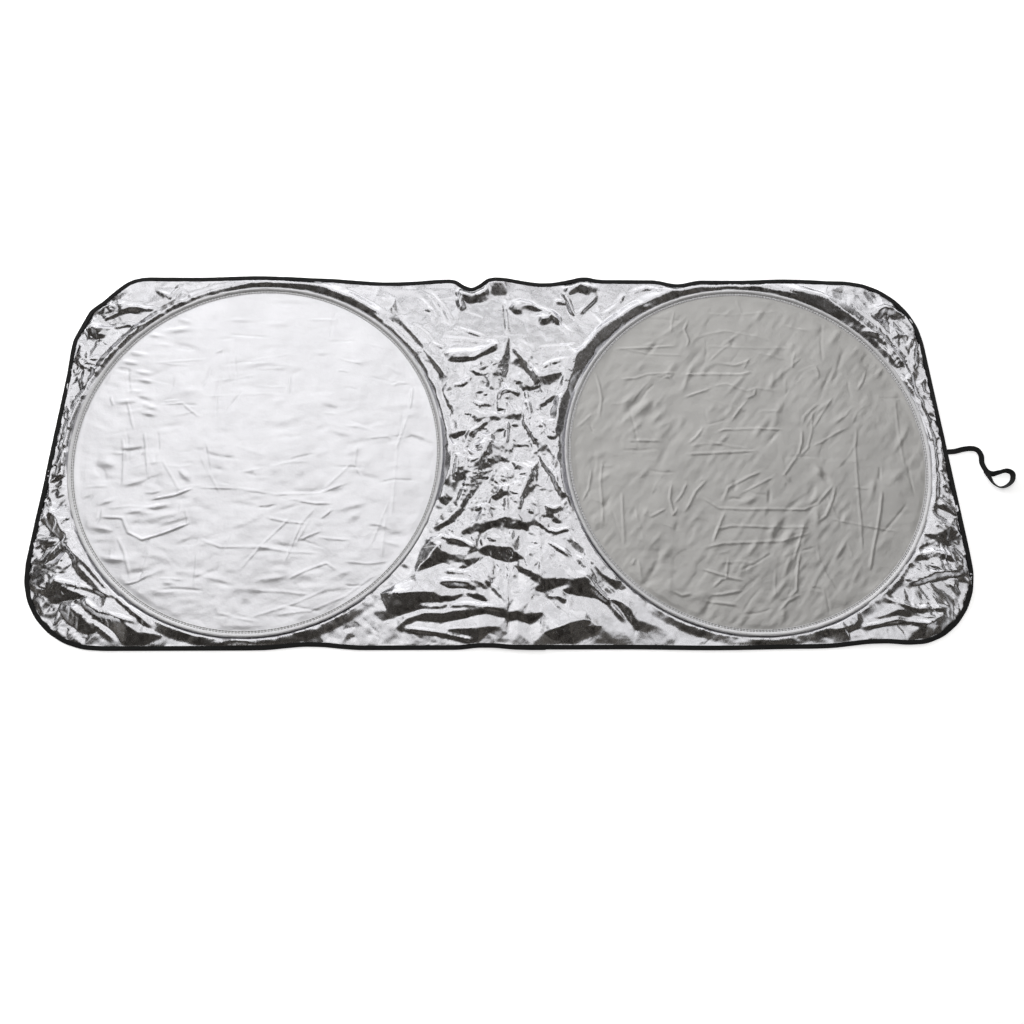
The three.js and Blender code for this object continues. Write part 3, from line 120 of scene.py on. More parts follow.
# Sharp creases of the taut discs: height, and the points along each on the ground.
DISC_CREASES = {
    "left": [
        (0.35, [(-566, 90), (-540, 93)]), (0.25, [(-575, 85), (-535, 88), (-520, 75), (-500, 60)]),
        (0.2, [(-650, 0), (-620, -2), (-616, -60)]), (0.35, [(-575, -82), (-530, -73), (-500, -60)]),
        (0.35, [(-650, -110), (-610, -112), (-598, -136), (-575, -148), (-540, -136), (-500, -118)]),
        (0.2, [(-616, -140), (-600, -170), (-585, -216)]), (0.25, [(-600, -222), (-576, -216), (-560, -206)]),
        (0.15, [(-560, -10), (-540, -40), (-520, -72)]), (0.15, [(-500, 0), (-480, -35), (-458, -72)]),
        (0.2, [(-592, 40), (-585, 0), (-575, -50)]), (0.2, [(-490, 180), (-475, 186)]),
        (0.1, [(-430, 165), (-355, 180)]), (0.15, [(-420, 150), (-360, 153)]),
        (0.1, [(-500, 100), (-400, 105), (-350, 100)]), (0.15, [(-595, 160), (-540, 165), (-500, 168)]),
        (0.15, [(-420, -200), (-380, -150), (-340, -108)]), (0.15, [(-350, -190), (-325, -120), (-300, -88)]),
        (0.15, [(-335, -160), (-310, -110)]), (0.2, [(-345, -215), (-318, -200), (-282, -186), (-262, -200)]),
        (0.2, [(-292, -62), (-268, -38), (-246, -14)]), (0.25, [(-296, -114), (-276, -96)]),
        (0.2, [(-330, -150), (-292, -132)]),
        (0.15, [(-490, -145), (-450, -160), (-390, -160), (-340, -168), (-292, -170)]),
        (0.12, [(-400, -230), (-350, -232), (-300, -238)]),
        (0.15, [(-500, -60), (-430, -62), (-370, -72), (-300, -70), (-250, -50)]),
        (0.12, [(-360, -270), (-300, -262), (-250, -240), (-200, -202)]),
        (0.12, [(-400, -275), (-330, -252), (-270, -225)]), (0.12, [(-196, -190), (-190, -100)]),
        (0.12, [(-216, -165), (-185, -80)]), (0.12, [(-182, -120), (-175, 20)]),
        (0.15, [(-180, 0), (-158, 72)]), (0.3, [(-153, 122), (-157, 74)]),
        (0.15, [(-230, 25), (-180, 30), (-160, 25)]), (0.15, [(-240, 20), (-245, -20), (-222, -60)]),
        (0.12, [(-240, 200), (-200, 190)]),
    ],
    "right": [
        (0.25, [(185, 190), (240, 192), (300, 197)]), (0.15, [(205, 190), (250, 181), (315, 178)]),
        (0.15, [(345, 197), (400, 194), (500, 193)]), (0.3, [(322, 250), (313, 228), (319, 206), (312, 188)]),
        (0.15, [(325, 210), (355, 220), (385, 226), (440, 215), (472, 205)]),
        (0.12, [(345, 260), (400, 257), (480, 264)]), (0.25, [(362, 165), (395, 160), (415, 166), (428, 178)]),
        (0.2, [(420, 170), (408, 152)]), (0.3, [(300, 142), (350, 144), (405, 143), (430, 150)]),
        (0.25, [(195, 133), (225, 136), (245, 143), (300, 146)]), (0.2, [(255, 138), (275, 142), (292, 127)]),
        (0.3, [(300, 98), (320, 106), (345, 115), (356, 122)]),
        (0.2, [(350, 122), (380, 125), (412, 112), (430, 118), (470, 112)]),
        (0.3, [(408, 98), (424, 105), (429, 119)]), (0.3, [(380, 55), (398, 80), (416, 101)]),
        (0.2, [(500, 50), (506, 66), (522, 82), (536, 92)]),
        (0.2, [(510, 12), (530, 20), (555, 36), (582, 48)]), (0.15, [(420, 68), (436, 76), (472, 75)]),
        (0.25, [(350, 34), (368, 42), (420, 44), (472, 42)]), (0.3, [(200, 22), (266, 22)]),
        (0.35, [(305, 15), (322, 30), (336, 49)]), (0.3, [(298, -2), (345, 0), (380, 2), (422, 4)]),
        (0.3, [(500, 46), (497, 20), (490, 0), (478, -16), (462, -38), (476, -54)]),
        (0.3, [(355, -88), (368, -60), (400, -43), (430, -30)]), (0.25, [(385, -72), (412, -58), (450, -38)]),
        (0.25, [(320, -75), (350, -95), (400, -98), (430, -97), (490, -98), (512, -88), (545, -52)]),
        (0.35, [(546, -55), (538, -80), (524, -108), (508, -121)]),
        (0.2, [(592, 46), (585, 8), (582, -60), (580, -120), (576, -172)]),
        (0.35, [(622, -62), (614, -100), (604, -136), (594, -166), (584, -205)]),
        (0.12, [(664, 100), (662, 30), (664, -30)]),
        (0.25, [(335, -156), (346, -130), (370, -125), (430, -128), (500, -128)]),
        (0.25, [(318, -163), (350, -155), (400, -153), (450, -151), (498, -136)]),
        (0.3, [(362, -98), (352, -116), (344, -134), (334, -156)]),
        (0.15, [(520, -110), (560, -120), (600, -128), (642, -136)]),
        (0.25, [(361, -172), (355, -200), (352, -222)]), (0.25, [(348, -210), (384, -216)]),
        (0.3, [(308, -194), (340, -205), (372, -213)]),
        (0.35, [(476, -168), (468, -200), (464, -232), (452, -242)]),
        (0.15, [(505, -150), (505, -180), (516, -212), (532, -242)]), (0.25, [(214, -178), (218, -216)]),
        (0.25, [(203, -192), (210, -178)]), (0.25, [(193, -62), (192, -100), (193, -162)]),
        (0.25, [(163, -10), (158, -50), (160, -100), (158, -130)]),
        (0.3, [(155, 150), (162, 120), (165, 98), (159, 60)]), (0.25, [(118, 42), (134, 56), (150, 72)]),
        (0.25, [(124, -90), (138, -62), (146, -20)]), (0.35, [(275, -50), (270, -80), (275, -106), (286, -90)]),
        (0.3, [(302, -48), (290, -72), (276, -90)]), (0.3, [(336, -44), (314, -66), (300, -92), (290, -106)]),
        (0.25, [(234, -112), (256, -100), (266, -94)]), (0.3, [(320, -240), (345, -238), (382, -231)]),
        (0.3, [(312, -248), (340, -252), (372, -256)]), (0.3, [(265, -232), (280, -240), (300, -236)]),
        (0.3, [(330, -228), (345, -214), (356, -212)]), (0.25, [(430, -268), (450, -248), (470, -240)]),
    ],
}

# Soft ripples of the discs: middle, turn in degrees, half length, half width and height.
DISC_RIPPLES = {
    "left": [
        (-555, 222, 8, 26, 5, 0.5), (-540, 190, -8, 26, 6, -0.5), (-592, 212, -10, 16, 4, 0.4),
        (-575, 195, -5, 16, 4, 0.4), (-545, 240, -15, 12, 4, 0.3), (-618, 178, -8, 16, 4, 0.5),
        (-630, 162, -8, 14, 4, 0.5), (-640, 148, -10, 12, 4, -0.5), (-605, 143, -8, 12, 4, 0.5),
        (-598, 128, -5, 12, 4, 0.5), (-612, 108, 0, 14, 4, 0.4), (-628, 90, 5, 16, 4, 0.5),
        (-600, 94, -15, 12, 4, -0.4), (-585, 80, -20, 12, 4, 0.4), (-588, 68, -10, 12, 4, 0.5),
        (-600, 5, 5, 16, 4, -0.4), (-615, 8, 0, 14, 4, 0.4), (-645, -18, -15, 14, 8, 0.8),
        (-655, -34, -50, 12, 5, -0.6), (-600, -52, 15, 18, 5, 0.5), (-570, -46, 20, 12, 4, -0.4),
        (-640, -85, 20, 14, 4, 0.4), (-555, -92, 10, 14, 4, 0.4), (-590, -100, 10, 20, 4, 0.4),
        (-545, -108, 12, 20, 5, 0.3), (-618, -180, -5, 22, 5, 0.7), (-640, -130, -10, 14, 4, 0.4),
        (-560, -205, 20, 18, 4, 0.3), (-518, -40, -45, 12, 5, 0.6),
    ],
    "right": [
        (213, 98, 45, 16, 5, 0.5), (224, 90, 45, 18, 5, -0.5), (235, 82, 45, 18, 6, 0.6),
        (246, 72, 45, 18, 6, -0.4), (256, 64, 40, 14, 5, 0.4), (205, 60, 50, 12, 4, 0.3),
        (270, 40, 50, 16, 5, 0.4), (285, 28, 50, 14, 5, -0.35), (436, -132, 60, 14, 6, 0.6),
        (446, -138, 60, 16, 6, -0.6), (458, -143, 55, 16, 6, 0.5), (470, -150, 55, 12, 5, -0.3),
        (400, -82, 20, 14, 5, 0.4), (520, -32, -60, 10, 6, 0.6), (530, -42, -60, 9, 5, -0.5),
        (350, 80, 50, 10, 5, 0.3), (380, 75, 50, 10, 5, 0.3), (455, 58, 60, 12, 6, 0.35),
        (445, 50, 60, 12, 5, -0.3), (230, -35, 50, 16, 5, 0.35), (260, -170, 50, 16, 6, 0.4),
        (280, -180, 50, 16, 6, -0.4),
    ],
}
# Width of each side of a disc's crease, and how much taller the folds are than their tables say.
CREASE_WIDTH = 3.0
CREASE_GAIN = 4.6
RIPPLE_GAIN = 4.0

# Sharp creases of the surround: height, width of each side, and the points along it on the ground.
SURROUND_CREASES = [
    (2.2, 4, [(1, 292), (3, 262), (5, 235), (8, 210)]), (1.8, 4, [(-86, 229), (-60, 220), (-28, 207)]),
    (1.6, 6, [(-108, 206), (-70, 203), (-8, 197)]), (2.0, 6, [(-98, 166), (-48, 170), (-4, 197)]),
    (2.2, 5, [(20, 283), (50, 270), (82, 256), (100, 232), (120, 211)]),
    (2.6, 9, [(8, 262), (30, 258), (54, 246), (78, 251)]), (2.0, 6, [(56, 234), (82, 246)]),
    (2.6, 5, [(98, 304), (112, 280), (118, 262), (125, 247)]), (2.4, 5, [(125, 247), (142, 268), (168, 292)]),
    (2.2, 6, [(86, 279), (110, 277)]), (1.2, 5, [(56, 188), (100, 190), (132, 198)]),
    (2.2, 4, [(13, 192), (30, 172), (50, 150), (60, 126)]), (2.0, 5, [(60, 148), (80, 160), (112, 168)]),
    (1.4, 6, [(20, 204), (45, 188), (50, 164)]), (1.6, 5, [(-152, 292), (-122, 256), (-112, 230)]),
    (1.4, 4, [(-150, 262), (-118, 262)]), (1.8, 4, [(-122, 196), (-98, 187)]),
    (2.0, 5, [(-132, 302), (-102, 264), (-86, 232)]), (1.6, 5, [(-160, 236), (-130, 212), (-110, 176)]),
    (2.2, 4, [(-62, 152), (-45, 142), (-28, 137)]), (2.4, 4, [(12, 124), (-8, 100), (-8, 70)]),
    (2.0, 4, [(-12, 105), (10, 111), (32, 105)]), (2.4, 4, [(34, 122), (41, 92), (45, 58)]),
    (2.2, 4, [(-62, 28), (-36, 48), (-18, 62)]), (2.2, 3.5, [(5, 12), (6, 62)]),
    (2.4, 5, [(29, 62), (44, 36), (54, 18)]), (2.0, 4, [(-90, 118), (-70, 122), (-52, 134)]),
    (2.0, 4, [(-60, 96), (-40, 84), (-14, 88)]), (2.2, 4, [(52, 82), (70, 90), (92, 108)]),
    (2.0, 4, [(60, 60), (72, 30), (88, 22)]), (2.2, 4, [(-96, 34), (-84, 10), (-88, -28)]),
    (0.9, 3.5, [(3, 0), (5, -60), (2, -110), (5, -170), (4, -250), (2, -306)]),
    (0.9, 3.5, [(51, -18), (53, -70), (57, -150), (58, -215), (60, -270), (57, -304)]),
    (1.8, 5, [(-42, -188), (-26, -216), (6, -252)]), (1.6, 5, [(62, -230), (82, -252), (112, -276)]),
    (2.2, 5, [(-94, 2), (-90, -30), (-96, -62)]), (2.2, 5, [(-76, -12), (-80, -62)]),
    (2.0, 5, [(-60, -18), (-62, -58), (-76, -92)]),
    (2.2, 5, [(-134, -152), (-100, -144), (-70, -151), (-38, -166)]),
    (2.4, 6, [(-112, -214), (-60, -221), (-28, -236)]), (2.0, 5, [(-104, -199), (-48, -204)]),
    (2.0, 4, [(68, -150), (90, -166), (112, -181)]), (2.4, 6, [(108, -168), (140, -205), (178, -242)]),
    (2.2, 5, [(128, -218), (160, -246), (192, -284)]), (2.2, 5, [(-162, -290), (-100, -298), (-42, -313)]),
    (2.0, 5, [(-140, -258), (-60, -254), (-4, -260)]), (2.0, 4, [(-22, -40), (-4, -58), (-16, -84)]),
    (2.0, 4, [(66, -20), (84, -44), (88, -70)]), (2.2, 4, [(-50, -100), (-30, -92), (-6, -98)]),
    (2.0, 4, [(64, -92), (80, -98), (96, -92)]), (2.2, 4, [(60, -128), (84, -136), (112, -128)]),
    (2.2, 5, [(-692, 238), (-640, 261), (-588, 264)]), (2.0, 5, [(-702, 216), (-642, 233), (-604, 226)]),
    (2.2, 5, [(-556, 312), (-574, 286), (-604, 300)]), (2.2, 5, [(-722, 168), (-700, 150), (-706, 112)]),
    (2.4, 6, [(-704, -148), (-652, -192), (-602, -240), (-540, -292)]),
    (2.2, 5, [(-706, -214), (-650, -226), (-604, -242)]), (2.4, 6, [(-684, -250), (-640, -276), (-598, -310)]),
    (2.0, 4, [(-738, -60), (-722, -92), (-730, -128)]), (2.2, 5, [(-660, -240), (-628, -266), (-560, -282)]),
    (2.2, 6, [(636, 272), (680, 262), (708, 256)]), (2.4, 5, [(618, 226), (652, 214), (690, 160), (702, 108)]),
    (2.0, 4, [(722, 62), (734, 20), (724, -30), (732, -82)]), (2.4, 6, [(638, -226), (690, -205), (742, -200)]),
    (2.4, 6, [(598, -242), (650, -262), (704, -262)]), (2.2, 5, [(556, -292), (620, -280), (682, -290)]),
    (2.2, 5, [(216, 296), (250, 308), (290, 304)]), (2.2, 5, [(168, 250), (196, 272), (214, 300)]),
    (6.0, 12, [(-88, 300), (-62, 292), (-40, 291), (-20, 304)]), (3.6, 7, [(-78, 290), (-70, 260)]),
    (5.2, 12, [(98, 298), (130, 310), (164, 300)]), (4.4, 12, [(6, 268), (30, 270), (58, 264)]),
    (3.8, 10, [(-106, 174), (-50, 178), (-4, 198)]), (4.4, 11, [(58, 240), (82, 250), (100, 236)]),
    (4.0, 10, [(-700, 262), (-660, 266), (-610, 262)]), (4.4, 11, [(-722, 214), (-700, 222), (-672, 214)]),
    (3.4, 8, [(640, 250), (664, 268), (690, 262)]), (3.4, 8, [(650, -178), (690, -170), (734, -180)]),
]


def srgb(text):
    """Linear colour of an sRGB hex value."""
    values = [int(text[i : i + 2], 16) / 255 for i in (1, 3, 5)]
    return [v / 12.92 if v <= 0.04045 else ((v + 0.055) / 1.055) ** 2.4 for v in values]


def rgba(value):
    return (*value[:3], 1.0)


def colour(name, text, words):
    return FloatVectorProperty(
        name=name, description=words, subtype="COLOR", size=3, min=0, max=1, default=srgb(text)
    )


def length(name, metres, words):
    return FloatProperty(name=name, description=words, default=metres, min=0, subtype="DISTANCE", unit="LENGTH")


def radiance(name, value, words):
    return FloatProperty(name=name, description=words, default=value, min=0)


class ClothSettings(bpy.types.PropertyGroup):
    surround_colour: colour("Surround", "#DADADE", "Metal coat of the crumpled surround")
    left_colour: colour("Left disc", "#EDEDF1", "Metal coat of the left disc")
    # The right disc is the same cloth as the left; its darker colour is painted shade, for the dimmer light
    # that its flat cloth mirrors.
    right_colour_with_painted_shade: colour("Right disc", "#BAB9B7", "Metal coat of the right disc")
    facet: length("Facet edge", 0.0038, "Longest edge of the surround's mesh")
    crumple: FloatProperty(
        name="Crumple",
        description="Share of its length that a fold is bent by",
        default=0.12,
        min=0,
        max=0.3,
        subtype="FACTOR",
    )
    rings: IntProperty(
        name="Disc rings", description="Rings of points in each disc", default=164, min=20, max=176
    )


class TapeSettings(bpy.types.PropertyGroup):
    casing_colour: colour("Casing", "#E2E2E4", "Silver tape round the hoops")
    thread_colour: colour("Thread", "#5E5C59", "Sewing thread")
    binding_colour: colour("Binding", "#070707", "Black tape round the edge and black strap")
    stitch: length("Stitch", 0.005, "Length of one stitch")


class StudioSettings(bpy.types.PropertyGroup):
    floor_colour: colour("Floor", "#F6F6F6", "Floor and backdrop")
    left_light: radiance("Left softbox", 1.16, "Radiance of the softbox over the left disc")
    right_light: radiance("Right softbox", 0.98, "Radiance of the softbox over the right disc")
    back_light: radiance("Back panel", 1.1, "Radiance of the tall panel behind")
    low_light: radiance("Low panel", 22, "Radiance of the low panel at the rear left")


# Nodes and materials


def node(tree, kind, settings=(), links=()):
    """Adds a node, sets its sockets and properties by name, and links sockets into it."""
    made = tree.nodes.new(kind)
    for name, value in dict(settings).items():
        if isinstance(name, int) or name in made.inputs:
            made.inputs[name].default_value = value
        else:
            setattr(made, name, value)
    for name, source in dict(links).items():
        tree.links.new(source, made.inputs[name])
    return made


def surface(name, settings):
    """A material with one Principled shader; gives the material, its tree, its shader and its coordinates."""
    material = bpy.data.materials.new(name)
    material.use_nodes = True
    tree = material.node_tree
    shader = tree.nodes["Principled BSDF"]
    for socket, value in settings.items():
        shader.inputs[socket].default_value = value
    place = node(tree, "ShaderNodeTexCoord").outputs["Object"]
    return material, tree, shader, place


def threads(tree, place, pitch, direction):
    """Fine ridges of thread across one direction, a given distance apart in millimetres."""
    return node(
        tree,
        "ShaderNodeTexWave",
        {
            "bands_direction": direction,
            "Scale": 2 * math.pi / (20 * pitch * MM),
            "Distortion": 1.5,
            "Detail Scale": 2.0,
        },
        {"Vector": place},
    ).outputs["Fac"]


def mottle(tree, shader, base, pattern, darkest, palest):
    """Varies the base colour with a pattern, between two shares of it."""
    tone = node(
        tree,
        "ShaderNodeMapRange",
        {"From Min": 0.3, "From Max": 0.7, "To Min": darkest, "To Max": palest},
        {0: pattern},
    )
    shade = node(
        tree,
        "ShaderNodeMix",
        {"data_type": "RGBA", "blend_type": "MULTIPLY", "Factor": 1.0, 6: rgba(base)},
        {7: tone.outputs[0]},
    )
    tree.links.new(shade.outputs[2], shader.inputs["Base Color"])


# Spacing of the cloth's threads, drawn much coarser than the real fifth of a millimetre so that it shows.
THREAD_PITCH = 1.3
WEAVE_DEPTH = 0.006
WRINKLE_SIZE = 9
PATCH_SIZE = 60


def metallised_cloth(name, base, roughness, wrinkle, coat):
    # Woven polyester with a vacuum metal coat: mirror-like facets that the weave spreads softly.
    material, tree, shader, place = surface(name, {"Metallic": coat, "Roughness": roughness})
    warp = threads(tree, place, THREAD_PITCH, "X")
    weft = threads(tree, place, THREAD_PITCH, "Y")
    weave = node(tree, "ShaderNodeMath", {"operation": "ADD"}, {0: warp, 1: weft}).outputs[0]
    fine = node(
        tree,
        "ShaderNodeTexNoise",
        {"Scale": 1 / (WRINKLE_SIZE * MM), "Detail": 4.0, "Roughness": 0.6},
        {"Vector": place},
    ).outputs["Fac"]
    patches = node(
        tree, "ShaderNodeTexNoise", {"Scale": 1 / (PATCH_SIZE * MM), "Detail": 3.0}, {"Vector": place}
    ).outputs["Fac"]
    mottle(tree, shader, base, patches, 0.94, 1.04)
    spread = node(
        tree,
        "ShaderNodeMapRange",
        {"From Min": 0.35, "From Max": 0.65, "To Min": roughness - 0.04, "To Max": roughness + 0.05},
        {0: fine},
    )
    tree.links.new(spread.outputs[0], shader.inputs["Roughness"])
    creases = node(tree, "ShaderNodeBump", {"Strength": 1.0, "Distance": wrinkle * MM}, {"Height": fine})
    woven = node(
        tree,
        "ShaderNodeBump",
        {"Strength": 1.0, "Distance": WEAVE_DEPTH * MM},
        {"Height": weave, "Normal": creases.outputs[0]},
    )
    tree.links.new(woven.outputs[0], shader.inputs["Normal"])
    return material


def silver_tape(name, base):
    # Folded strip of the same coated cloth: bright, ribbed across by its tight weave.
    material, tree, shader, place = surface(name, {"Metallic": 0.85, "Roughness": 0.5})
    grain = node(
        tree, "ShaderNodeTexNoise", {"Scale": 1 / (1.6 * MM), "Detail": 3.0}, {"Vector": place}
    ).outputs["Fac"]
    mottle(tree, shader, base, grain, 0.88, 1.05)
    bump = node(tree, "ShaderNodeBump", {"Strength": 1.0, "Distance": 0.12 * MM}, {"Height": grain})
    tree.links.new(bump.outputs[0], shader.inputs["Normal"])
    return material


def woven_tape(name, base, pitch):
    # Woven polyester tape: matt black, with a faint sheen on the ribs.
    material, tree, shader, place = surface(
        name, {"Metallic": 0.0, "Roughness": 0.82, "Sheen Weight": 0.05, "Sheen Roughness": 0.5}
    )
    ribs = node(
        tree, "ShaderNodeTexNoise", {"Scale": 1 / (pitch * MM), "Detail": 2.0}, {"Vector": place}
    ).outputs["Fac"]
    mottle(tree, shader, base, ribs, 0.7, 1.5)
    bump = node(tree, "ShaderNodeBump", {"Strength": 1.0, "Distance": 0.25 * MM}, {"Height": ribs})
    tree.links.new(bump.outputs[0], shader.inputs["Normal"])
    return material


def sewing_thread(name, base):
    # Spun polyester thread: matt and twisted, with painted shade that makes it a little darker in the hollows
    # of its twist.
    material, tree, shader, place = surface(name, {"Metallic": 0.0, "Roughness": 0.7})
    twist_painted_shade = node(
        tree, "ShaderNodeTexNoise", {"Scale": 1 / (0.8 * MM), "Detail": 2.0}, {"Vector": place}
    ).outputs["Fac"]
    mottle(tree, shader, base, twist_painted_shade, 0.55, 1.1)
    return material


def spring_steel(name):
    # Tempered drawn wire: grey, with fine lengthwise drawing marks.
    grey = rgba(srgb("#8F9296"))
    material, tree, shader, place = surface(name, {"Metallic": 1.0, "Roughness": 0.36, "Base Color": grey})
    marks = node(
        tree, "ShaderNodeTexNoise", {"Scale": 1 / (2 * MM), "Detail": 3.0}, {"Vector": place}
    ).outputs["Fac"]
    spread = node(
        tree,
        "ShaderNodeMapRange",
        {"From Min": 0.3, "From Max": 0.7, "To Min": 0.28, "To Max": 0.48},
        {0: marks},
    )
    tree.links.new(spread.outputs[0], shader.inputs["Roughness"])
    return material


# Mesh code


def new_piece(name, points, faces, material):
    """A smooth-shaded mesh object from points in metres."""
    mesh = bpy.data.meshes.new(name)
    mesh.from_pydata(np.asarray(points).tolist(), [], [list(map(int, face)) for face in faces])
    mesh.validate()
    mesh.polygons.foreach_set("use_smooth", np.ones(len(mesh.polygons), bool))
    mesh.materials.append(material)
    piece = bpy.data.objects.new(name, mesh)
    bpy.context.scene.collection.objects.link(piece)
    return piece


def finish_piece(piece, slot, *nodes):
    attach(piece, ROOT)
    if nodes:
        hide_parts(*nodes)
    return piece


def smooth_noise(x, y, size, seed):
    """Seeded smooth noise from -1 to 1, with bumps about size wide."""
    grid = np.random.default_rng(seed).uniform(-1, 1, (256, 256))
    u, v = x / size + 64, y / size + 64
    i, j = np.floor(u).astype(int), np.floor(v).astype(int)
    s, t = u - i, v - j
    s, t = s * s * (3 - 2 * s), t * t * (3 - 2 * t)
    i, j = i % 255, j % 255
    low = grid[i, j] * (1 - s) + grid[i + 1, j] * s
    high = grid[i, j + 1] * (1 - s) + grid[i + 1, j + 1] * s
    return low * (1 - t) + high * t


def smooth_step(value, low, high):
    t = np.clip((value - low) / (high - low), 0, 1)
    return t * t * (3 - 2 * t)


def fold_height(x, y, line, width, height):
    """Height of a sharp fold along a line of points, which dies out at its two ends."""
    line = np.asarray(line, float)
    spans = np.linalg.norm(np.diff(line, axis=0), axis=1)
    total = spans.sum()
    best = np.zeros(len(x))
    gone = 0.0
    low, high = line.min(axis=0) - width, line.max(axis=0) + width
    near = np.flatnonzero((x > low[0]) & (x < high[0]) & (y > low[1]) & (y < high[1]))
    px, py = x[near], y[near]
    for (x0, y0), (x1, y1), span in zip(line[:-1], line[1:], spans):
        t = np.clip(((px - x0) * (x1 - x0) + (py - y0) * (y1 - y0)) / span**2, 0, 1)
        away = np.hypot(px - x0 - t * (x1 - x0), py - y0 - t * (y1 - y0))
        end = np.minimum(gone + t * span, total - gone - t * span)
        fade = smooth_step(end, 0, min(18, total * 0.3))
        best[near] = np.maximum(best[near], np.clip(1 - away / width, 0, 1) * fade)
        gone += span
    return height * best


def ripple_height(x, y, cx, cy, turn, half, width, height):
    """Height of one soft lens-shaped ripple."""
    c, s = math.cos(math.radians(turn)), math.sin(math.radians(turn))
    u = (x - cx) * c + (y - cy) * s
    v = -(x - cx) * s + (y - cy) * c
    return height * np.exp(-((u / half) ** 2) - (v / width) ** 2)


def upper_layer(name):
    """The top of a CAD cloth as welded points in millimetres, and its faces."""
    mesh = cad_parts[name].data
    mesh.calc_loop_triangles()
    points = np.empty(len(mesh.vertices) * 3)
    mesh.vertices.foreach_get("co", points)
    faces = np.empty(len(mesh.loop_triangles) * 3, int)
    mesh.loop_triangles.foreach_get("vertices", faces)
    points = points.reshape(-1, 3) / MM
    faces = faces.reshape(-1, 3)
    _, first, place = np.unique(np.round(points, 3), axis=0, return_index=True, return_inverse=True)
    points, faces = points[first], place.reshape(-1)[faces]
    a, b, c = (points[faces[:, i]] for i in range(3))
    across = np.cross(b - a, c - a)
    faces = faces[across[:, 2] > 0.05 * np.linalg.norm(across, axis=1)]
    used, place = np.unique(faces, return_inverse=True)
    return points[used], place.reshape(-1, 3)


def edges_of(faces):
    """The edges, each face's place among them, and how many faces meet at each."""
    pairs = np.sort(np.concatenate([faces[:, [0, 1]], faces[:, [1, 2]], faces[:, [2, 0]]]), axis=1)
    edges, place, count = np.unique(pairs, axis=0, return_inverse=True, return_counts=True)
    return edges, place.reshape(3, -1).T, count


def split_edges(points, faces, longest, bend):
    """Halves each edge that is over the longest, and bends the new middle points."""
    while True:
        edges, place, _ = edges_of(faces)
        span = np.linalg.norm(points[edges[:, 0]] - points[edges[:, 1]], axis=1)
        long = span > longest
        if not long.any():
            return points, faces
        middle = points[edges[long]].mean(axis=1)
        middle[:, 2] += bend(middle, span[long])
        index = np.full(len(edges), -1)
        index[long] = len(points) + np.arange(long.sum())
        points = np.vstack([points, middle])
        cut = index[place]
        count = (cut >= 0).sum(axis=1)
        made = [faces[count == 0]]
        for turn in range(3):
            a, b, c = (faces[:, (turn + k) % 3] for k in range(3))
            ab, bc, ca = (cut[:, (turn + k) % 3] for k in range(3))
            one = (count == 1) & (ab >= 0)
            two = (count == 2) & (ca < 0)
            made += [np.stack(t, 1)[one] for t in ((a, ab, c), (ab, b, c))]
            made += [np.stack(t, 1)[two] for t in ((ab, b, bc), (a, ab, bc), (a, bc, c))]
            if turn == 0:
                three = count == 3
                made += [np.stack(t, 1)[three] for t in ((a, ab, ca), (ab, b, bc), (ca, bc, c), (ab, bc, ca))]
        faces = np.concatenate(made)


def relaxed(points, faces, share, fixed):
    """Rounds the folds a little by drawing each height to its neighbours'."""
    edges, _, _ = edges_of(faces)
    a, b = edges.T
    degree = np.bincount(edges.ravel(), minlength=len(points))
    total = np.bincount(a, points[b, 2], len(points)) + np.bincount(b, points[a, 2], len(points))
    points[:, 2] += np.where(fixed, 0, share * (total / degree - points[:, 2]))
    return points


def rim_distance(x, y):
    """How far a point is outside the nearer hoop, its angle round that hoop, and the hoop's side."""
    side = np.where(x < 0, -1.0, 1.0)
    dx = x - side * HOOP_X
    return np.hypot(dx, y) - HOOP_RADIUS, np.arctan2(y, dx), side


def border_distance(points, faces):
    """How far each point is from the border, and the border's height there."""
    edges, _, count = edges_of(faces)
    border = np.unique(edges[count == 1])
    tree = KDTree(len(border))
    for i, at in enumerate(points[border]):
        tree.insert((at[0], at[1], 0), i)
    tree.balance()
    found = [tree.find((x, y, 0)) for x, y, _ in points]
    return np.array([f[2] for f in found]), points[border][[f[1] for f in found], 2]


# Crumpled surround


def tightness(x, y):
    """1 where the cloth is crumpled most, between the hoops, and 0 where it lies calm."""
    calm = np.exp(-(((x - 20) / 110) ** 2) - ((y - 235) / 45) ** 2)
    middle = np.exp(-((x / 105) ** 4) - (((y + 20) / 200) ** 4))
    ends = smooth_step(np.abs(x), 610, 700) * (1 - 0.4 * smooth_step(np.abs(y), 180, 260))
    return np.clip(np.maximum(middle, 0.9 * ends) - calm * 1.2, 0, 1)


# Rolls of loose cloth along a rim: side, first and last angle, height, inner and outer reach.
RIM_ROLLS = [
    (-1, 18, 136, 4.6, 8.5, 20),
    (-1, 44, 94, 7.4, 13, 26),
    (-1, 116, 196, 6.2, 7.5, 18),
    (-1, -20, 34, 5.0, 7, 16),
    (1, 24, 206, 5.2, 9.5, 22),
    (1, 30, 80, 8.8, 15.5, 32),
    (1, 84, 130, 8.4, 15, 31),
    (1, 112, 182, 10.5, 15, 30),
    (1, -24, 34, 5.4, 6.5, 15),
    (-1, -135, -48, 5.0, 3.5, 19),
    (-1, -170, -120, 2.2, 4, 14),
    (1, -130, -50, 3.4, 3.5, 17),
    (1, -165, -120, 3.2, 4, 16),
    (1, -60, -15, 2.4, 4, 14),
]


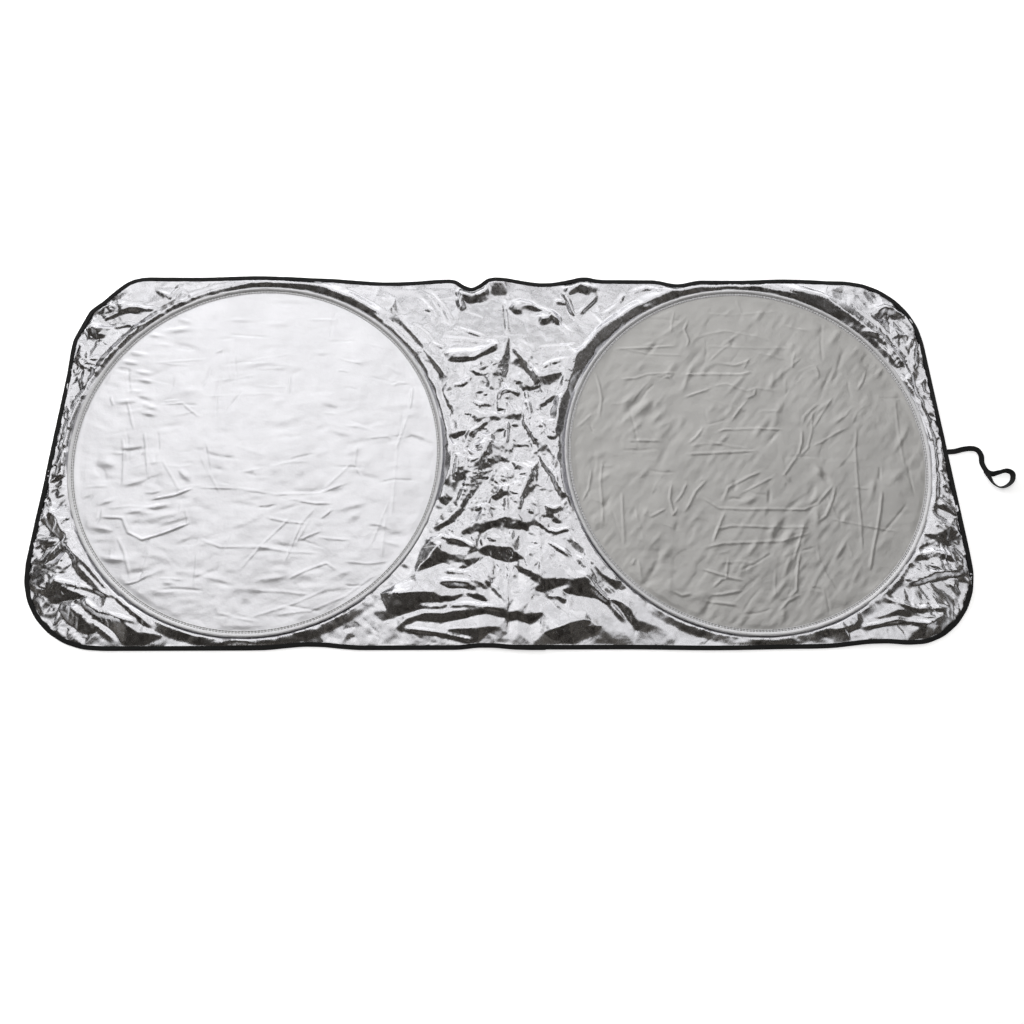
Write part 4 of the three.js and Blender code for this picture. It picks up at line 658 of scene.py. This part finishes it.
def rim_roll_height(out, angle, side):
    height = np.zeros(len(out))
    degrees = np.degrees(angle)
    for hoop, start, end, tall, peak, reach in RIM_ROLLS:
        turn = np.where(degrees < start - 30, degrees + 360, degrees)
        span = smooth_step(turn, start, start + 14) * (1 - smooth_step(turn, end - 14, end))
        profile = np.clip((out - 0.4) / (peak - 0.4), 0, 1) * np.clip((reach - out) / (reach - peak), 0, 1)
        height = np.maximum(height, np.where(side == hoop, tall * span * profile, 0))
    return height


# Edges over the first length are halved and bent, then those over the second.
FOLD_LENGTHS = (12, 6)
# Share of the full bend that the calm cloth gets, and share of the edges that bend at all.
CALM_BEND = 0.12
BENT_SHARE = 0.7
# How far the cloth's gathers die out from a hoop, and how tall they are.
GATHER_REACH = 16
GATHER_HEIGHT = 1.3
# The creases are drawn this much wider and taller than their table says.
CREASE_SPREAD = 1.2
CREASE_RISE = 1.4
# Slope at which the cloth leaves the upper rims, and what the lower half and the far ends add to it.
RIM_SLOPE = 0.56
LOWER_SLOPE = 1.1
END_SLOPE = 0.45
# Width of the binding's inside, and the last of the cloth in it that nobody sees.
BINDING_INSIDE = 7
HIDDEN_MARGIN = 3.2


def folded_cloth(settings):
    """The solid's folds with smaller ones between them, as points in millimetres and faces."""
    rng = np.random.default_rng(12)

    def bend(middle, span):
        out, _, _ = rim_distance(middle[:, 0], middle[:, 1])
        share = settings.crumple * (CALM_BEND + (1 - CALM_BEND) * tightness(middle[:, 0], middle[:, 1]))
        share *= smooth_step(out, 4, 14) * smooth_step(span, 3, 9)
        turned = rng.uniform(-1, 1, len(span))
        return share * span * turned * (rng.uniform(0, 1, len(span)) < BENT_SHARE)

    def straight(middle, span):
        return np.zeros(len(span))

    points, faces = upper_layer("surround_panel")
    for longest in FOLD_LENGTHS:
        points, faces = split_edges(points, faces, longest, bend)
    return split_edges(points, faces, settings.facet / MM, straight)


def loosen_cloth(points, faces, far, hem):
    """Adds gathers, waves, creases and rolls to the heights, within the cloth's steepest slopes."""
    x, y = points[:, 0], points[:, 1]
    out, angle, side = rim_distance(x, y)
    free = smooth_step(far, 8, 16)
    along = angle * HOOP_RADIUS
    gather = smooth_noise(along, out * 0.35, 11, 5) + 0.6 * smooth_noise(along, out * 0.5, 6, 6)
    points[:, 2] += free * gather * GATHER_HEIGHT * np.exp(-np.maximum(out, 0) / GATHER_REACH)
    points[:, 2] += free * 0.1 * smooth_noise(x + y, x - y, 7, 9)
    points[:, 2] += free * (0.7 * smooth_noise(x, y, 26, 10) + 0.3 * smooth_noise(x, y, 13, 11))
    points = relaxed(points, faces, 0.5, far < 2)
    creased = sum(
        fold_height(x, y, line, CREASE_SPREAD * width, CREASE_RISE * height)
        for height, width, line in SURROUND_CREASES
    )
    uneven = 1 + 0.35 * smooth_noise(along, out, 30, 15)
    points[:, 2] += smooth_step(far, 7, 12) * smooth_step(out, 3, 9) * creased
    points[:, 2] += smooth_step(far, 6, 10) * rim_roll_height(out, angle, side) * uneven
    # The cloth leaves the upper rims at one even slope, and stays low enough behind the binding to show it.
    steepest = RIM_SLOPE + LOWER_SLOPE * smooth_step(-y, 20, 90) + END_SLOPE * smooth_step(np.abs(x), 560, 640)
    points[:, 2] = np.minimum(points[:, 2], 1.4 + steepest * np.maximum(out, 0))
    points[:, 2] = np.minimum(points[:, 2], hem + 0.3 + 0.9 * np.maximum(far - BINDING_INSIDE, 0))
    points[:, 2] = np.maximum(points[:, 2], CLOTH + 0.05)
    return points


def build_surround(settings):
    points, faces = folded_cloth(settings)
    far, hem = border_distance(points, faces)
    points = loosen_cloth(points, faces, far, hem)
    # Nobody sees the last of the cloth inside the binding's fold, and at sharp pulls it would come through.
    out, _, _ = rim_distance(points[:, 0], points[:, 1])
    shown = (far[faces].mean(axis=1) > HIDDEN_MARGIN) | (out[faces].mean(axis=1) < 12)
    used, place = np.unique(faces[shown], return_inverse=True)
    points, faces = points[used], place.reshape(-1, 3)
    name = "Vacuum-metallised woven polyester, crumpled"
    cloth = metallised_cloth(name, settings.surround_colour, 0.24, 0.13, 1.0)
    piece = new_piece("crumpled_surround", points * MM, faces, cloth)
    finish_piece(piece, "metallised_cloth", "surround_panel")


# Disc panels

# What differs between the discs: seed, main direction of their folds in degrees, tallest random
# ripple, height of their fine wrinkles, and share of bare metal in the coat.
DISC_KINDS = {
    "left": {"seed": 3, "turn": 0, "tallest": 1.2, "wrinkles": 0.2, "coat": 0.5},
    "right": {"seed": 8, "turn": 52, "tallest": 1.6, "wrinkles": 0.6, "coat": 0.25},
}
RANDOM_CREASES = 75
RANDOM_RIPPLES = 150
# Room between the random folds and the hoop, and how far in from the seam the cloth is pulled flat.
FOLD_ROOM = 25
TAUT_REACH = 9
# The disc goes this far into its casing's seam.
SEAM_DEPTH = 2


def ring_mesh(rings, radius):
    """Points and faces of an even disc, ring by ring."""
    points = [(0.0, 0.0)]
    starts = [0]
    for k in range(1, rings + 1):
        starts.append(len(points))
        angles = 2 * math.pi * np.arange(6 * k) / (6 * k)
        points += list(zip(radius * k / rings * np.cos(angles), radius * k / rings * np.sin(angles)))
    faces = []
    for k in range(1, rings + 1):
        low = k - 1
        for sector in range(6):
            for i in range(k):
                a = starts[k] + (sector * k + i) % (6 * k)
                b = starts[k] + (sector * k + i + 1) % (6 * k)
                c = starts[low] + ((sector * low + i) % (6 * low) if low else 0)
                faces.append((a, b, c))
                if i < low:
                    d = starts[low] + (sector * low + i + 1) % (6 * low)
                    faces.append((b, d, c))
    return np.array(points), faces


def random_place(rng):
    angle, far = rng.uniform(0, 2 * math.pi), (HOOP_RADIUS - FOLD_ROOM) * math.sqrt(rng.uniform(0, 1))
    return far * math.cos(angle), far * math.sin(angle)


def random_crease(rng, x, y, main_turn):
    """A short crease, along, across or at the disc's main direction."""
    cx, cy = random_place(rng)
    turn = rng.choice([0, 90, main_turn]) + rng.normal(0, 10)
    half = rng.uniform(10, 45)
    dx, dy = half * math.cos(math.radians(turn)), half * math.sin(math.radians(turn))
    kink = rng.uniform(-4, 4)
    line = [(cx - dx, cy - dy), (cx + kink, cy - kink), (cx + dx, cy + dy)]
    return fold_height(x, y, line, CREASE_WIDTH, rng.choice([-1, 1]) * rng.uniform(0.3, 1.1))


def random_ripple(rng, x, y, main_turn, tallest):
    cx, cy = random_place(rng)
    turn = rng.normal(main_turn, 14)
    half = rng.uniform(8, 26)
    width = rng.uniform(3, 6.5)
    return ripple_height(x, y, cx, cy, turn, half, width, rng.choice([-1, 1]) * rng.uniform(0.3, tallest))


def disc_heights(side, x, y):
    """Heights of one taut disc about its own middle: drawn folds, random ones, then soft waves."""
    kind = DISC_KINDS[side]
    rng = np.random.default_rng(kind["seed"])
    shift = SIDES[side] * HOOP_X
    z = np.full(len(x), DISC_TOP)
    for height, line in DISC_CREASES[side]:
        z += fold_height(x + shift, y, line, CREASE_WIDTH, CREASE_GAIN * height)
    for *where, height in DISC_RIPPLES[side]:
        z += ripple_height(x + shift, y, *where, RIPPLE_GAIN * height)
    for _ in range(RANDOM_CREASES):
        z += random_crease(rng, x, y, kind["turn"])
    for _ in range(RANDOM_RIPPLES):
        z += random_ripple(rng, x, y, kind["turn"], kind["tallest"])
    z += 1.0 * smooth_noise(x, y, 60, 31) + 0.45 * smooth_noise(x, y, 15, 32)
    busy = np.clip(0.55 + 0.6 * smooth_noise(x, y, 80, 34) - y / 900, 0.1, 1)
    c, s = math.cos(math.radians(kind["turn"])), math.sin(math.radians(kind["turn"]))
    z += busy * kind["wrinkles"] * smooth_noise((x * c + y * s) / 3.2, y * c - x * s, 7, 33)
    z += (1 - busy) * 0.22 * smooth_noise(x / 4, y, 7, 35)
    taut = smooth_step(CASING_INNER - np.hypot(x, y), 0, TAUT_REACH)
    z = DISC_TOP + (z - DISC_TOP) * taut
    return np.maximum(z, CLOTH + 0.1)


def build_disc(side, settings):
    flat, faces = ring_mesh(settings.rings, CASING_INNER + SEAM_DEPTH)
    x, y = flat.T
    z = disc_heights(side, x, y)
    # The right disc's darker colour is painted shade: both discs are the same cloth.
    base = settings.left_colour if side == "left" else settings.right_colour_with_painted_shade
    name = f"Vacuum-metallised woven polyester, taut {side}"
    cloth = metallised_cloth(name, base, 0.34, 0.5, DISC_KINDS[side]["coat"])
    points = np.column_stack([x + SIDES[side] * HOOP_X, y, z]) * MM
    piece = new_piece(f"{side}_taut_disc", points, faces, cloth)
    finish_piece(piece, "metallised_cloth", f"{side}_disc_panel")


# Hoop casings, threads, wires and ferrules

CASING_STEPS = 960
# Depth and reach of the dip that each stitch pulls into the tape.
STITCH_DIP = 0.8
STITCH_REACH = 0.9


def swept_ring(name, sections, material, closed=True):
    """Joins sections of the same number of points into one skin."""
    sections = np.asarray(sections)
    count, size = sections.shape[:2]
    faces = []
    for i in range(count if closed else count - 1):
        j = (i + 1) % count
        for k in range(size):
            m = (k + 1) % size
            faces.append((i * size + k, i * size + m, j * size + m, j * size + k))
    if not closed:
        faces.append(tuple(range(size)))
        faces.append(tuple(range((count - 1) * size, count * size))[::-1])
    return new_piece(name, sections.reshape(-1, 3) * MM, faces, material)


def casing_top(r):
    """Top of the casing at a distance from its inner hem: flat sewn plies, then a soft rise over the wire."""
    share = min(max((r - SEAM) / (BEAD - SEAM), 0), 1)
    return PLY_TOP + (CROWN - PLY_TOP) * share * share * (3 - 2 * share)


def casing_profile():
    """The folded tape in section, as distance from the inner hem and height: flat plies and a round bead."""
    top = [(0.0, PLY_TOP - 0.55), (0.15, PLY_TOP - 0.12)]
    top += [(r, casing_top(r)) for r in (0.5, 1.3, 2.0, 2.8, 3.6, 4.4, 5.2, 6.0, 6.8, 7.5)]
    for degrees in range(90, -91, -18):
        a = math.radians(degrees)
        rise = min(CASING_OUTER * math.sin(a), CASING_OUTER - BEAD_FLAT)
        top.append((BEAD + CASING_OUTER * math.cos(a), WIRE_HEIGHT + rise))
    under = [(r, CLOTH + GAP) for r in (6.0, 4.0, 2.0, 0.0)]
    return np.array(top + under)


def build_casing(side, settings):
    profile = casing_profile()
    angles = 2 * math.pi * np.arange(CASING_STEPS) / CASING_STEPS
    seed = 20 if side == "left" else 40
    stitches = round(2 * math.pi * CASING_INNER / (settings.stitch / MM))
    sections = np.empty((CASING_STEPS, len(profile), 3))

    def loop(size, own_seed):
        """Noise that meets itself round the hoop."""
        return smooth_noise(200 * np.cos(angles) * 1.5, 200 * np.sin(angles) * 1.5, size, own_seed)

    for k, (r, z) in enumerate(profile):
        height = np.full(CASING_STEPS, z)
        width = np.full(CASING_STEPS, CASING_INNER + r)
        if z > CLOTH + GAP + 0.3:
            bead = 1.0 if r > 5.5 else 0.35
            height += bead * (0.16 * loop(7, seed + k // 3) + 0.22 * loop(22, seed + 9))
            for row in STITCH_ROWS:
                pull = math.exp(-(((r - row) / STITCH_REACH) ** 2))
                height -= STITCH_DIP * pull * (0.5 + 0.5 * np.cos(stitches * angles)) ** 2
        width += 0.2 * loop(30, seed + 3) * (1 if r < 3 else 0.3) + 0.12 * loop(8, seed + 5)
        sections[:, k, 0] = SIDES[side] * HOOP_X + width * np.cos(angles)
        sections[:, k, 1] = width * np.sin(angles)
        sections[:, k, 2] = height
    tape = silver_tape(f"Folded silver-coated tape, {side}", settings.casing_colour)
    piece = swept_ring(f"{side}_folded_casing", sections, tape)
    finish_piece(piece, "silver_tape", f"{side}_hoop_casing")
    build_stitches(side, stitches, settings)


# One stitch from end to end: share of its length, radius of the thread, and height above the tape.
STITCH_SHAPE = [
    (-0.5, 0.08, -0.6),
    (-0.36, 0.28, -0.1),
    (-0.12, 0.38, 0.14),
    (0.12, 0.38, 0.14),
    (0.36, 0.28, -0.1),
    (0.5, 0.08, -0.6),
]
STITCH_SIDES = 5
# Share of its pitch that a stitch takes up.
STITCH_COVER = 0.86


def build_stitches(side, count, settings):
    """Two rows of lockstitch on the casing, each stitch a short thread that dips at its two ends."""
    rng = np.random.default_rng(50 + SIDES[side])
    ring = 2 * math.pi * np.arange(STITCH_SIDES) / STITCH_SIDES
    half = 2 * math.pi / count * STITCH_COVER
    points, faces = [], []
    for row in STITCH_ROWS:
        for i in range(count):
            middle = 2 * math.pi * (i + 0.5) / count
            start = len(points)
            skew = rng.normal(0, 0.12)
            lift = casing_top(row) + rng.normal(0, 0.03)
            for share, size, up in STITCH_SHAPE:
                a = middle + half * share
                for turn in ring:
                    r = CASING_INNER + row + skew * share * 2 + size * math.cos(turn)
                    x, y = SIDES[side] * HOOP_X + r * math.cos(a), r * math.sin(a)
                    points.append((x, y, lift + up + size * math.sin(turn)))
            last = start + STITCH_SIDES * (len(STITCH_SHAPE) - 1)
            for base in range(start, last, STITCH_SIDES):
                for k in range(STITCH_SIDES):
                    m = (k + 1) % STITCH_SIDES
                    faces.append((base + k, base + m, base + STITCH_SIDES + m, base + STITCH_SIDES + k))
            faces.append(tuple(start + k for k in range(STITCH_SIDES))[::-1])
            faces.append(tuple(last + k for k in range(STITCH_SIDES)))
    thread = sewing_thread(f"Spun polyester thread, {side}", settings.thread_colour)
    piece = new_piece(f"{side}_casing_stitches", np.array(points) * MM, faces, thread)
    finish_piece(piece, "silver_tape")


def round_section(side, angle, radius, flatness):
    """Points round the hoop's wire at one angle of the hoop."""
    ring = 2 * math.pi * np.arange(12) / 12
    r = WIRE_RING + radius * np.cos(ring)
    z = WIRE_HEIGHT + radius * flatness * np.sin(ring)
    return np.column_stack([SIDES[side] * HOOP_X + r * math.cos(angle), r * math.sin(angle), z])


def build_hoop_steel(side):
    steel = spring_steel(f"Tempered drawn steel wire, {side}")
    joint = math.radians(FERRULE_ANGLE)
    gap = 0.75 / WIRE_RING
    angles = np.linspace(joint + gap, joint + 2 * math.pi - gap, 361)
    sections = [round_section(side, a, WIRE_RADIUS, 1) for a in angles]
    wire = swept_ring(f"{side}_sprung_wire", sections, steel, closed=False)
    finish_piece(wire, "spring_steel", f"{side}_hoop_wire")
    sections = []
    for share in np.linspace(-1, 1, 29):
        crimp = 1 - 0.14 * math.exp(-(((abs(share) - 0.5) / 0.12) ** 2))
        edge = 1 - max(0.0, abs(share) - 0.9)
        angle = joint + share * SLEEVE_HALF / WIRE_RING
        sections.append(round_section(side, angle, SLEEVE_RADIUS * edge, crimp))
    sleeve = swept_ring(f"{side}_crimped_sleeve", sections, steel, closed=False)
    finish_piece(sleeve, "spring_steel", f"{side}_hoop_ferrule")


# Edge binding

# Points closer than this are one point, and faces that meet flatter than this become one face.
WELD = 0.002
JOIN_ANGLE = math.radians(70)


def rounded_binding(tape):
    """The solid's folded tape, split evenly and then rounded, as points in millimetres and faces."""
    source = bmesh.new()
    source.from_mesh(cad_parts["edge_binding"].data)
    bmesh.ops.remove_doubles(source, verts=source.verts, dist=WELD * MM)
    bmesh.ops.join_triangles(
        source, faces=source.faces, angle_face_threshold=JOIN_ANGLE, angle_shape_threshold=JOIN_ANGLE
    )
    source.verts.index_update()
    points = np.array([vert.co for vert in source.verts])
    faces = [[vert.index for vert in face.verts] for face in source.faces]
    source.free()
    plain = new_piece("plain_binding", points, faces, tape)
    finer = plain.modifiers.new("Keep the sharp pulls", "SUBSURF")
    finer.subdivision_type = "SIMPLE"
    finer.levels = 1
    rounder = plain.modifiers.new("Round the folds", "SUBSURF")
    rounder.levels = 2
    shape = bpy.data.meshes.new_from_object(plain.evaluated_get(bpy.context.evaluated_depsgraph_get()))
    bpy.data.objects.remove(plain)
    at = np.empty(len(shape.vertices) * 3)
    shape.vertices.foreach_get("co", at)
    return at.reshape(-1, 3) / MM, [list(face.vertices) for face in shape.polygons]


def build_binding(settings):
    tape = woven_tape("Woven black polyester tape, folded", settings.binding_colour, 1.4)
    at, faces = rounded_binding(tape)
    x, y = at[:, 0], at[:, 1]
    upper = smooth_step(at[:, 2], 1.2, 2.2)
    at[:, 2] += upper * (0.22 * smooth_noise(x, y, 9, 61) + 0.3 * smooth_noise(x, y, 30, 62))
    piece = new_piece("folded_binding", at * MM, faces, tape)
    finish_piece(piece, "black_tape", "edge_binding")


# Closure strap


def spline(line, per_step):
    """Points of a smooth curve through a line of rows."""
    line = np.asarray(line, float)
    padded = np.vstack([2 * line[0] - line[1], line, 2 * line[-1] - line[-2]])
    points = []
    for i in range(len(line) - 1):
        p0, p1, p2, p3 = padded[i : i + 4]
        for k in range(per_step):
            t = k / per_step
            square = (2 * p0 - 5 * p1 + 4 * p2 - p3) * t**2
            cube = (3 * p1 - p0 - 3 * p2 + p3) * t**3
            points.append(0.5 * (2 * p1 + (p2 - p0) * t + square + cube))
    points.append(line[-1])
    return np.array(points)


def strap_profile():
    """The flat tape in section: five ribs on each face, thinner at its two edges."""
    half, depth = STRAP_WIDTH / 2, STRAP_THICKNESS / 2
    upper = []
    for share in np.linspace(-1, 1, 13):
        thin = 1 if abs(share) < 0.95 else 0.55
        upper.append((share * half, depth * (0.82 + 0.12 * math.cos(share * 5 * math.pi)) * thin))
    return upper + [(w, -t) for w, t in upper[::-1]]


def build_strap(settings):
    low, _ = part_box("closure_strap")
    rows = spline(STRAP_LINE, 8)
    middles, directions = rows[:, :3], np.gradient(rows[:, :3], axis=0)
    half, depth = STRAP_WIDTH / 2, STRAP_THICKNESS / 2
    profile = strap_profile()
    sections, centre = [], []
    for middle, direction, turn in zip(middles, directions, np.radians(rows[:, 3])):
        tangent = Vector(direction).normalized()
        left = Vector((-tangent.y, tangent.x, 0)).normalized()
        up = tangent.cross(left)
        across = left * math.cos(turn) + up * math.sin(turn)
        through = up * math.cos(turn) - left * math.sin(turn)
        rest = half * abs(across.z) + depth * abs(through.z) + STRAP_REST
        at = Vector(middle) + Vector((low.x / MM, STRAP_AT, rest))
        centre.append(at * MM)
        sections.append([list(at + across * w + through * t) for w, t in profile])
    elastic = woven_tape("Braided black elastic", settings.binding_colour, 0.9)
    piece = swept_ring("elastic_strap", sections, elastic, closed=False)
    finish_piece(piece, "black_elastic", "closure_strap")


# Studio

# Each softbox is a row of strips, some brighter and some dimmer, so that ripples in the cloth show.
STRIP_SHARES = (0.78, 1.18, 0.7, 1.15, 1.15)
STRIP_START = -0.15
STRIP_WIDTH = 0.4
STRIP_LENGTH = 2.2
STRIP_HEIGHT = 2.2
FLOOR_HALF = 14.0
# How brightly the floor shows to the camera and in the metal, on top of the light on it.
FLOOR_GLOW = 0.58

# Camera of the photo's angle: lens and sensor in millimetres, place in metres, turns in degrees.
LENS = 32.5
SENSOR = 36.0
CAMERA_AT = (-0.02045, -0.54136, 1.43065)
CAMERA_TURN = 4.326
CAMERA_DOWN = 72.863
CAMERA_ROLL = 4.141


def softbox(name, at, towards, size, strength):
    """A white area lamp of a given radiance."""
    lamp = bpy.data.lights.new(name, "AREA")
    lamp.shape = "RECTANGLE"
    lamp.size, lamp.size_y = size
    lamp.energy = strength * math.pi * size[0] * size[1]
    body = bpy.data.objects.new(name, lamp)
    body.location = at
    aim = Vector(towards) - Vector(at)
    body.rotation_euler = aim.to_track_quat("-Z", "Y").to_euler()
    bpy.context.scene.collection.objects.link(body)
    return body


def build_lamps(settings):
    lights = {"left": settings.left_light, "right": settings.right_light}
    for k, share in enumerate(STRIP_SHARES):
        y = STRIP_START + (k + 0.5) * STRIP_WIDTH
        for side, light in lights.items():
            x = SIDES[side] * STRIP_LENGTH / 2
            name = f"{side.capitalize()} softbox strip {k + 1}"
            softbox(name, (x, y, STRIP_HEIGHT), (x, y, 0), (STRIP_LENGTH, STRIP_WIDTH), light * share)
    softbox("Back panel", (0, 2.6, 1.35), (0, 0, 0.6), (4.4, 2.2), settings.back_light)
    low = softbox("Low panel", (-2.3, 1.7, 0.85), (0.1, 0, 0), (2.4, 0.6), settings.low_light)
    low.visible_glossy = False


def build_floor(settings):
    # Matt paper: it takes the shadow, and shows as clean white to the camera and in the metal coat.
    material = bpy.data.materials.new("Matt white paper sweep")
    corners = [(x * FLOOR_HALF, y * FLOOR_HALF, 0) for x, y in ((-1, -1), (1, -1), (1, 1), (-1, 1))]
    floor = new_piece("studio_floor", corners, [(0, 1, 2, 3)], material)
    material.use_nodes = True
    tree = material.node_tree
    tree.nodes.clear()
    paper = node(tree, "ShaderNodeBsdfDiffuse", {"Color": rgba(settings.floor_colour)})
    seen = node(tree, "ShaderNodeLightPath").outputs
    either = node(
        tree,
        "ShaderNodeMath",
        {"operation": "MAXIMUM"},
        {0: seen["Is Camera Ray"], 1: seen["Is Glossy Ray"]},
    )
    level = node(tree, "ShaderNodeMath", {"operation": "MULTIPLY", 1: FLOOR_GLOW}, {0: either.outputs[0]})
    glow = node(tree, "ShaderNodeEmission", {"Color": (1, 1, 1, 1)}, {"Strength": level.outputs[0]})
    both = node(tree, "ShaderNodeAddShader", (), {0: paper.outputs[0], 1: glow.outputs[0]})
    node(tree, "ShaderNodeOutputMaterial", (), {"Surface": both.outputs[0]})


def build_world():
    # White cove round the horizon under a dark ceiling with paler panels, which the metal coat mirrors.
    world = bpy.data.worlds.new("Studio")
    world.use_nodes = True
    tree = world.node_tree
    tree.nodes.clear()
    place = node(tree, "ShaderNodeTexCoord").outputs["Generated"]
    split = node(tree, "ShaderNodeSeparateXYZ", (), {0: place})
    rise = node(tree, "ShaderNodeMapRange", {"From Min": 0.12, "From Max": 0.4}, {0: split.outputs["Z"]})
    panels = node(
        tree, "ShaderNodeTexNoise", {"Scale": 5.5, "Detail": 2.0, "Roughness": 0.5}, {"Vector": place}
    )
    pale = node(tree, "ShaderNodeMapRange", {"From Min": 0.46, "From Max": 0.7}, {0: panels.outputs["Fac"]})
    ceiling = node(
        tree,
        "ShaderNodeMix",
        {"data_type": "RGBA", 6: rgba(srgb("#15120F")), 7: rgba(srgb("#7A756D"))},
        {"Factor": pale.outputs[0]},
    )
    shade = node(
        tree,
        "ShaderNodeMix",
        {"data_type": "RGBA", 6: (0.9, 0.9, 0.9, 1)},
        {"Factor": rise.outputs[0], 7: ceiling.outputs[2]},
    )
    sky = node(tree, "ShaderNodeBackground", {"Strength": 1.0}, {"Color": shade.outputs[2]})
    node(tree, "ShaderNodeOutputWorld", (), {"Surface": sky.outputs[0]})
    bpy.context.scene.world = world


def build_camera():
    lens = bpy.data.cameras.new("Photo angle")
    lens.sensor_fit = "HORIZONTAL"
    lens.sensor_width = SENSOR
    lens.lens = LENS
    lens.clip_start = 0.01
    turn, down, roll = (math.radians(v) for v in (CAMERA_TURN, CAMERA_DOWN, CAMERA_ROLL))
    ahead = Vector((math.sin(turn) * math.cos(down), math.cos(turn) * math.cos(down), -math.sin(down)))
    right = Vector((math.cos(turn), -math.sin(turn), 0))
    up = right.cross(ahead)
    across = right * math.cos(roll) + up * math.sin(roll)
    upright = up * math.cos(roll) - right * math.sin(roll)
    stand = Matrix((across, upright, -ahead)).transposed().to_4x4()
    camera = bpy.data.objects.new("Photo angle", lens)
    camera.matrix_world = Matrix.Translation(CAMERA_AT) @ stand
    bpy.context.scene.collection.objects.link(camera)
    bpy.context.scene.camera = camera


# Operators


class BuildStage(bpy.types.Operator):
    """Adds the floor, the lamps, the world and the camera"""

    bl_idname = "sunshade.build_stage"
    bl_label = "Stage"

    def execute(self, context):
        settings = context.scene.sunshade_studio
        build_floor(settings)
        build_world()
        build_lamps(settings)
        build_camera()
        return {"FINISHED"}


class BuildSurround(bpy.types.Operator):
    """Adds the crumpled cloth round both hoops"""

    bl_idname = "sunshade.build_surround"
    bl_label = "Crumpled surround"

    def execute(self, context):
        build_surround(context.scene.sunshade_cloth)
        return {"FINISHED"}


class BuildDiscs(bpy.types.Operator):
    """Adds the two taut cloth discs"""

    bl_idname = "sunshade.build_discs"
    bl_label = "Disc panels"

    def execute(self, context):
        for side in SIDES:
            build_disc(side, context.scene.sunshade_cloth)
        return {"FINISHED"}


class BuildHoops(bpy.types.Operator):
    """Adds the stitched casings, the sprung wires and their sleeves"""

    bl_idname = "sunshade.build_hoops"
    bl_label = "Hoops"

    def execute(self, context):
        for side in SIDES:
            build_casing(side, context.scene.sunshade_tape)
            build_hoop_steel(side)
        return {"FINISHED"}


class BuildBinding(bpy.types.Operator):
    """Adds the black tape folded over the edge"""

    bl_idname = "sunshade.build_binding"
    bl_label = "Edge binding"

    def execute(self, context):
        build_binding(context.scene.sunshade_tape)
        return {"FINISHED"}


class BuildStrap(bpy.types.Operator):
    """Adds the elastic closure strap with its end loop"""

    bl_idname = "sunshade.build_strap"
    bl_label = "Closure strap"

    def execute(self, context):
        build_strap(context.scene.sunshade_tape)
        return {"FINISHED"}


class SunshadePanel(bpy.types.Panel):
    """Sizes, colours and pieces of the sunshade"""

    bl_idname = "VIEW3D_PT_sunshade"
    bl_label = "Windscreen sunshade"
    bl_space_type = "VIEW_3D"
    bl_region_type = "UI"
    bl_category = "Sunshade"

    def draw(self, context):
        scene = context.scene
        for group in (scene.sunshade_cloth, scene.sunshade_tape, scene.sunshade_studio):
            box = self.layout.box()
            for name in group.__annotations__:
                box.prop(group, name)
        for operator in OPERATORS:
            self.layout.operator(operator.bl_idname)


OPERATORS = (BuildStage, BuildStrap, BuildSurround, BuildDiscs, BuildHoops, BuildBinding)
GROUPS = {"sunshade_cloth": ClothSettings, "sunshade_tape": TapeSettings, "sunshade_studio": StudioSettings}


def register():
    for group in GROUPS.values():
        bpy.utils.register_class(group)
    for operator in OPERATORS:
        bpy.utils.register_class(operator)
    bpy.utils.register_class(SunshadePanel)
    for name, group in GROUPS.items():
        setattr(bpy.types.Scene, name, PointerProperty(type=group))


def unregister():
    for name in GROUPS:
        delattr(bpy.types.Scene, name)
    bpy.utils.unregister_class(SunshadePanel)
    for operator in reversed(OPERATORS):
        bpy.utils.unregister_class(operator)
    for group in reversed(list(GROUPS.values())):
        bpy.utils.unregister_class(group)


def main():
    register()
    bpy.context.scene.view_settings.view_transform = "Standard"
    bpy.ops.sunshade.build_stage()
    bpy.ops.sunshade.build_strap()
    bpy.ops.sunshade.build_surround()
    bpy.ops.sunshade.build_discs()
    bpy.ops.sunshade.build_hoops()
    bpy.ops.sunshade.build_binding()


if __name__ == "__main__":
    main()
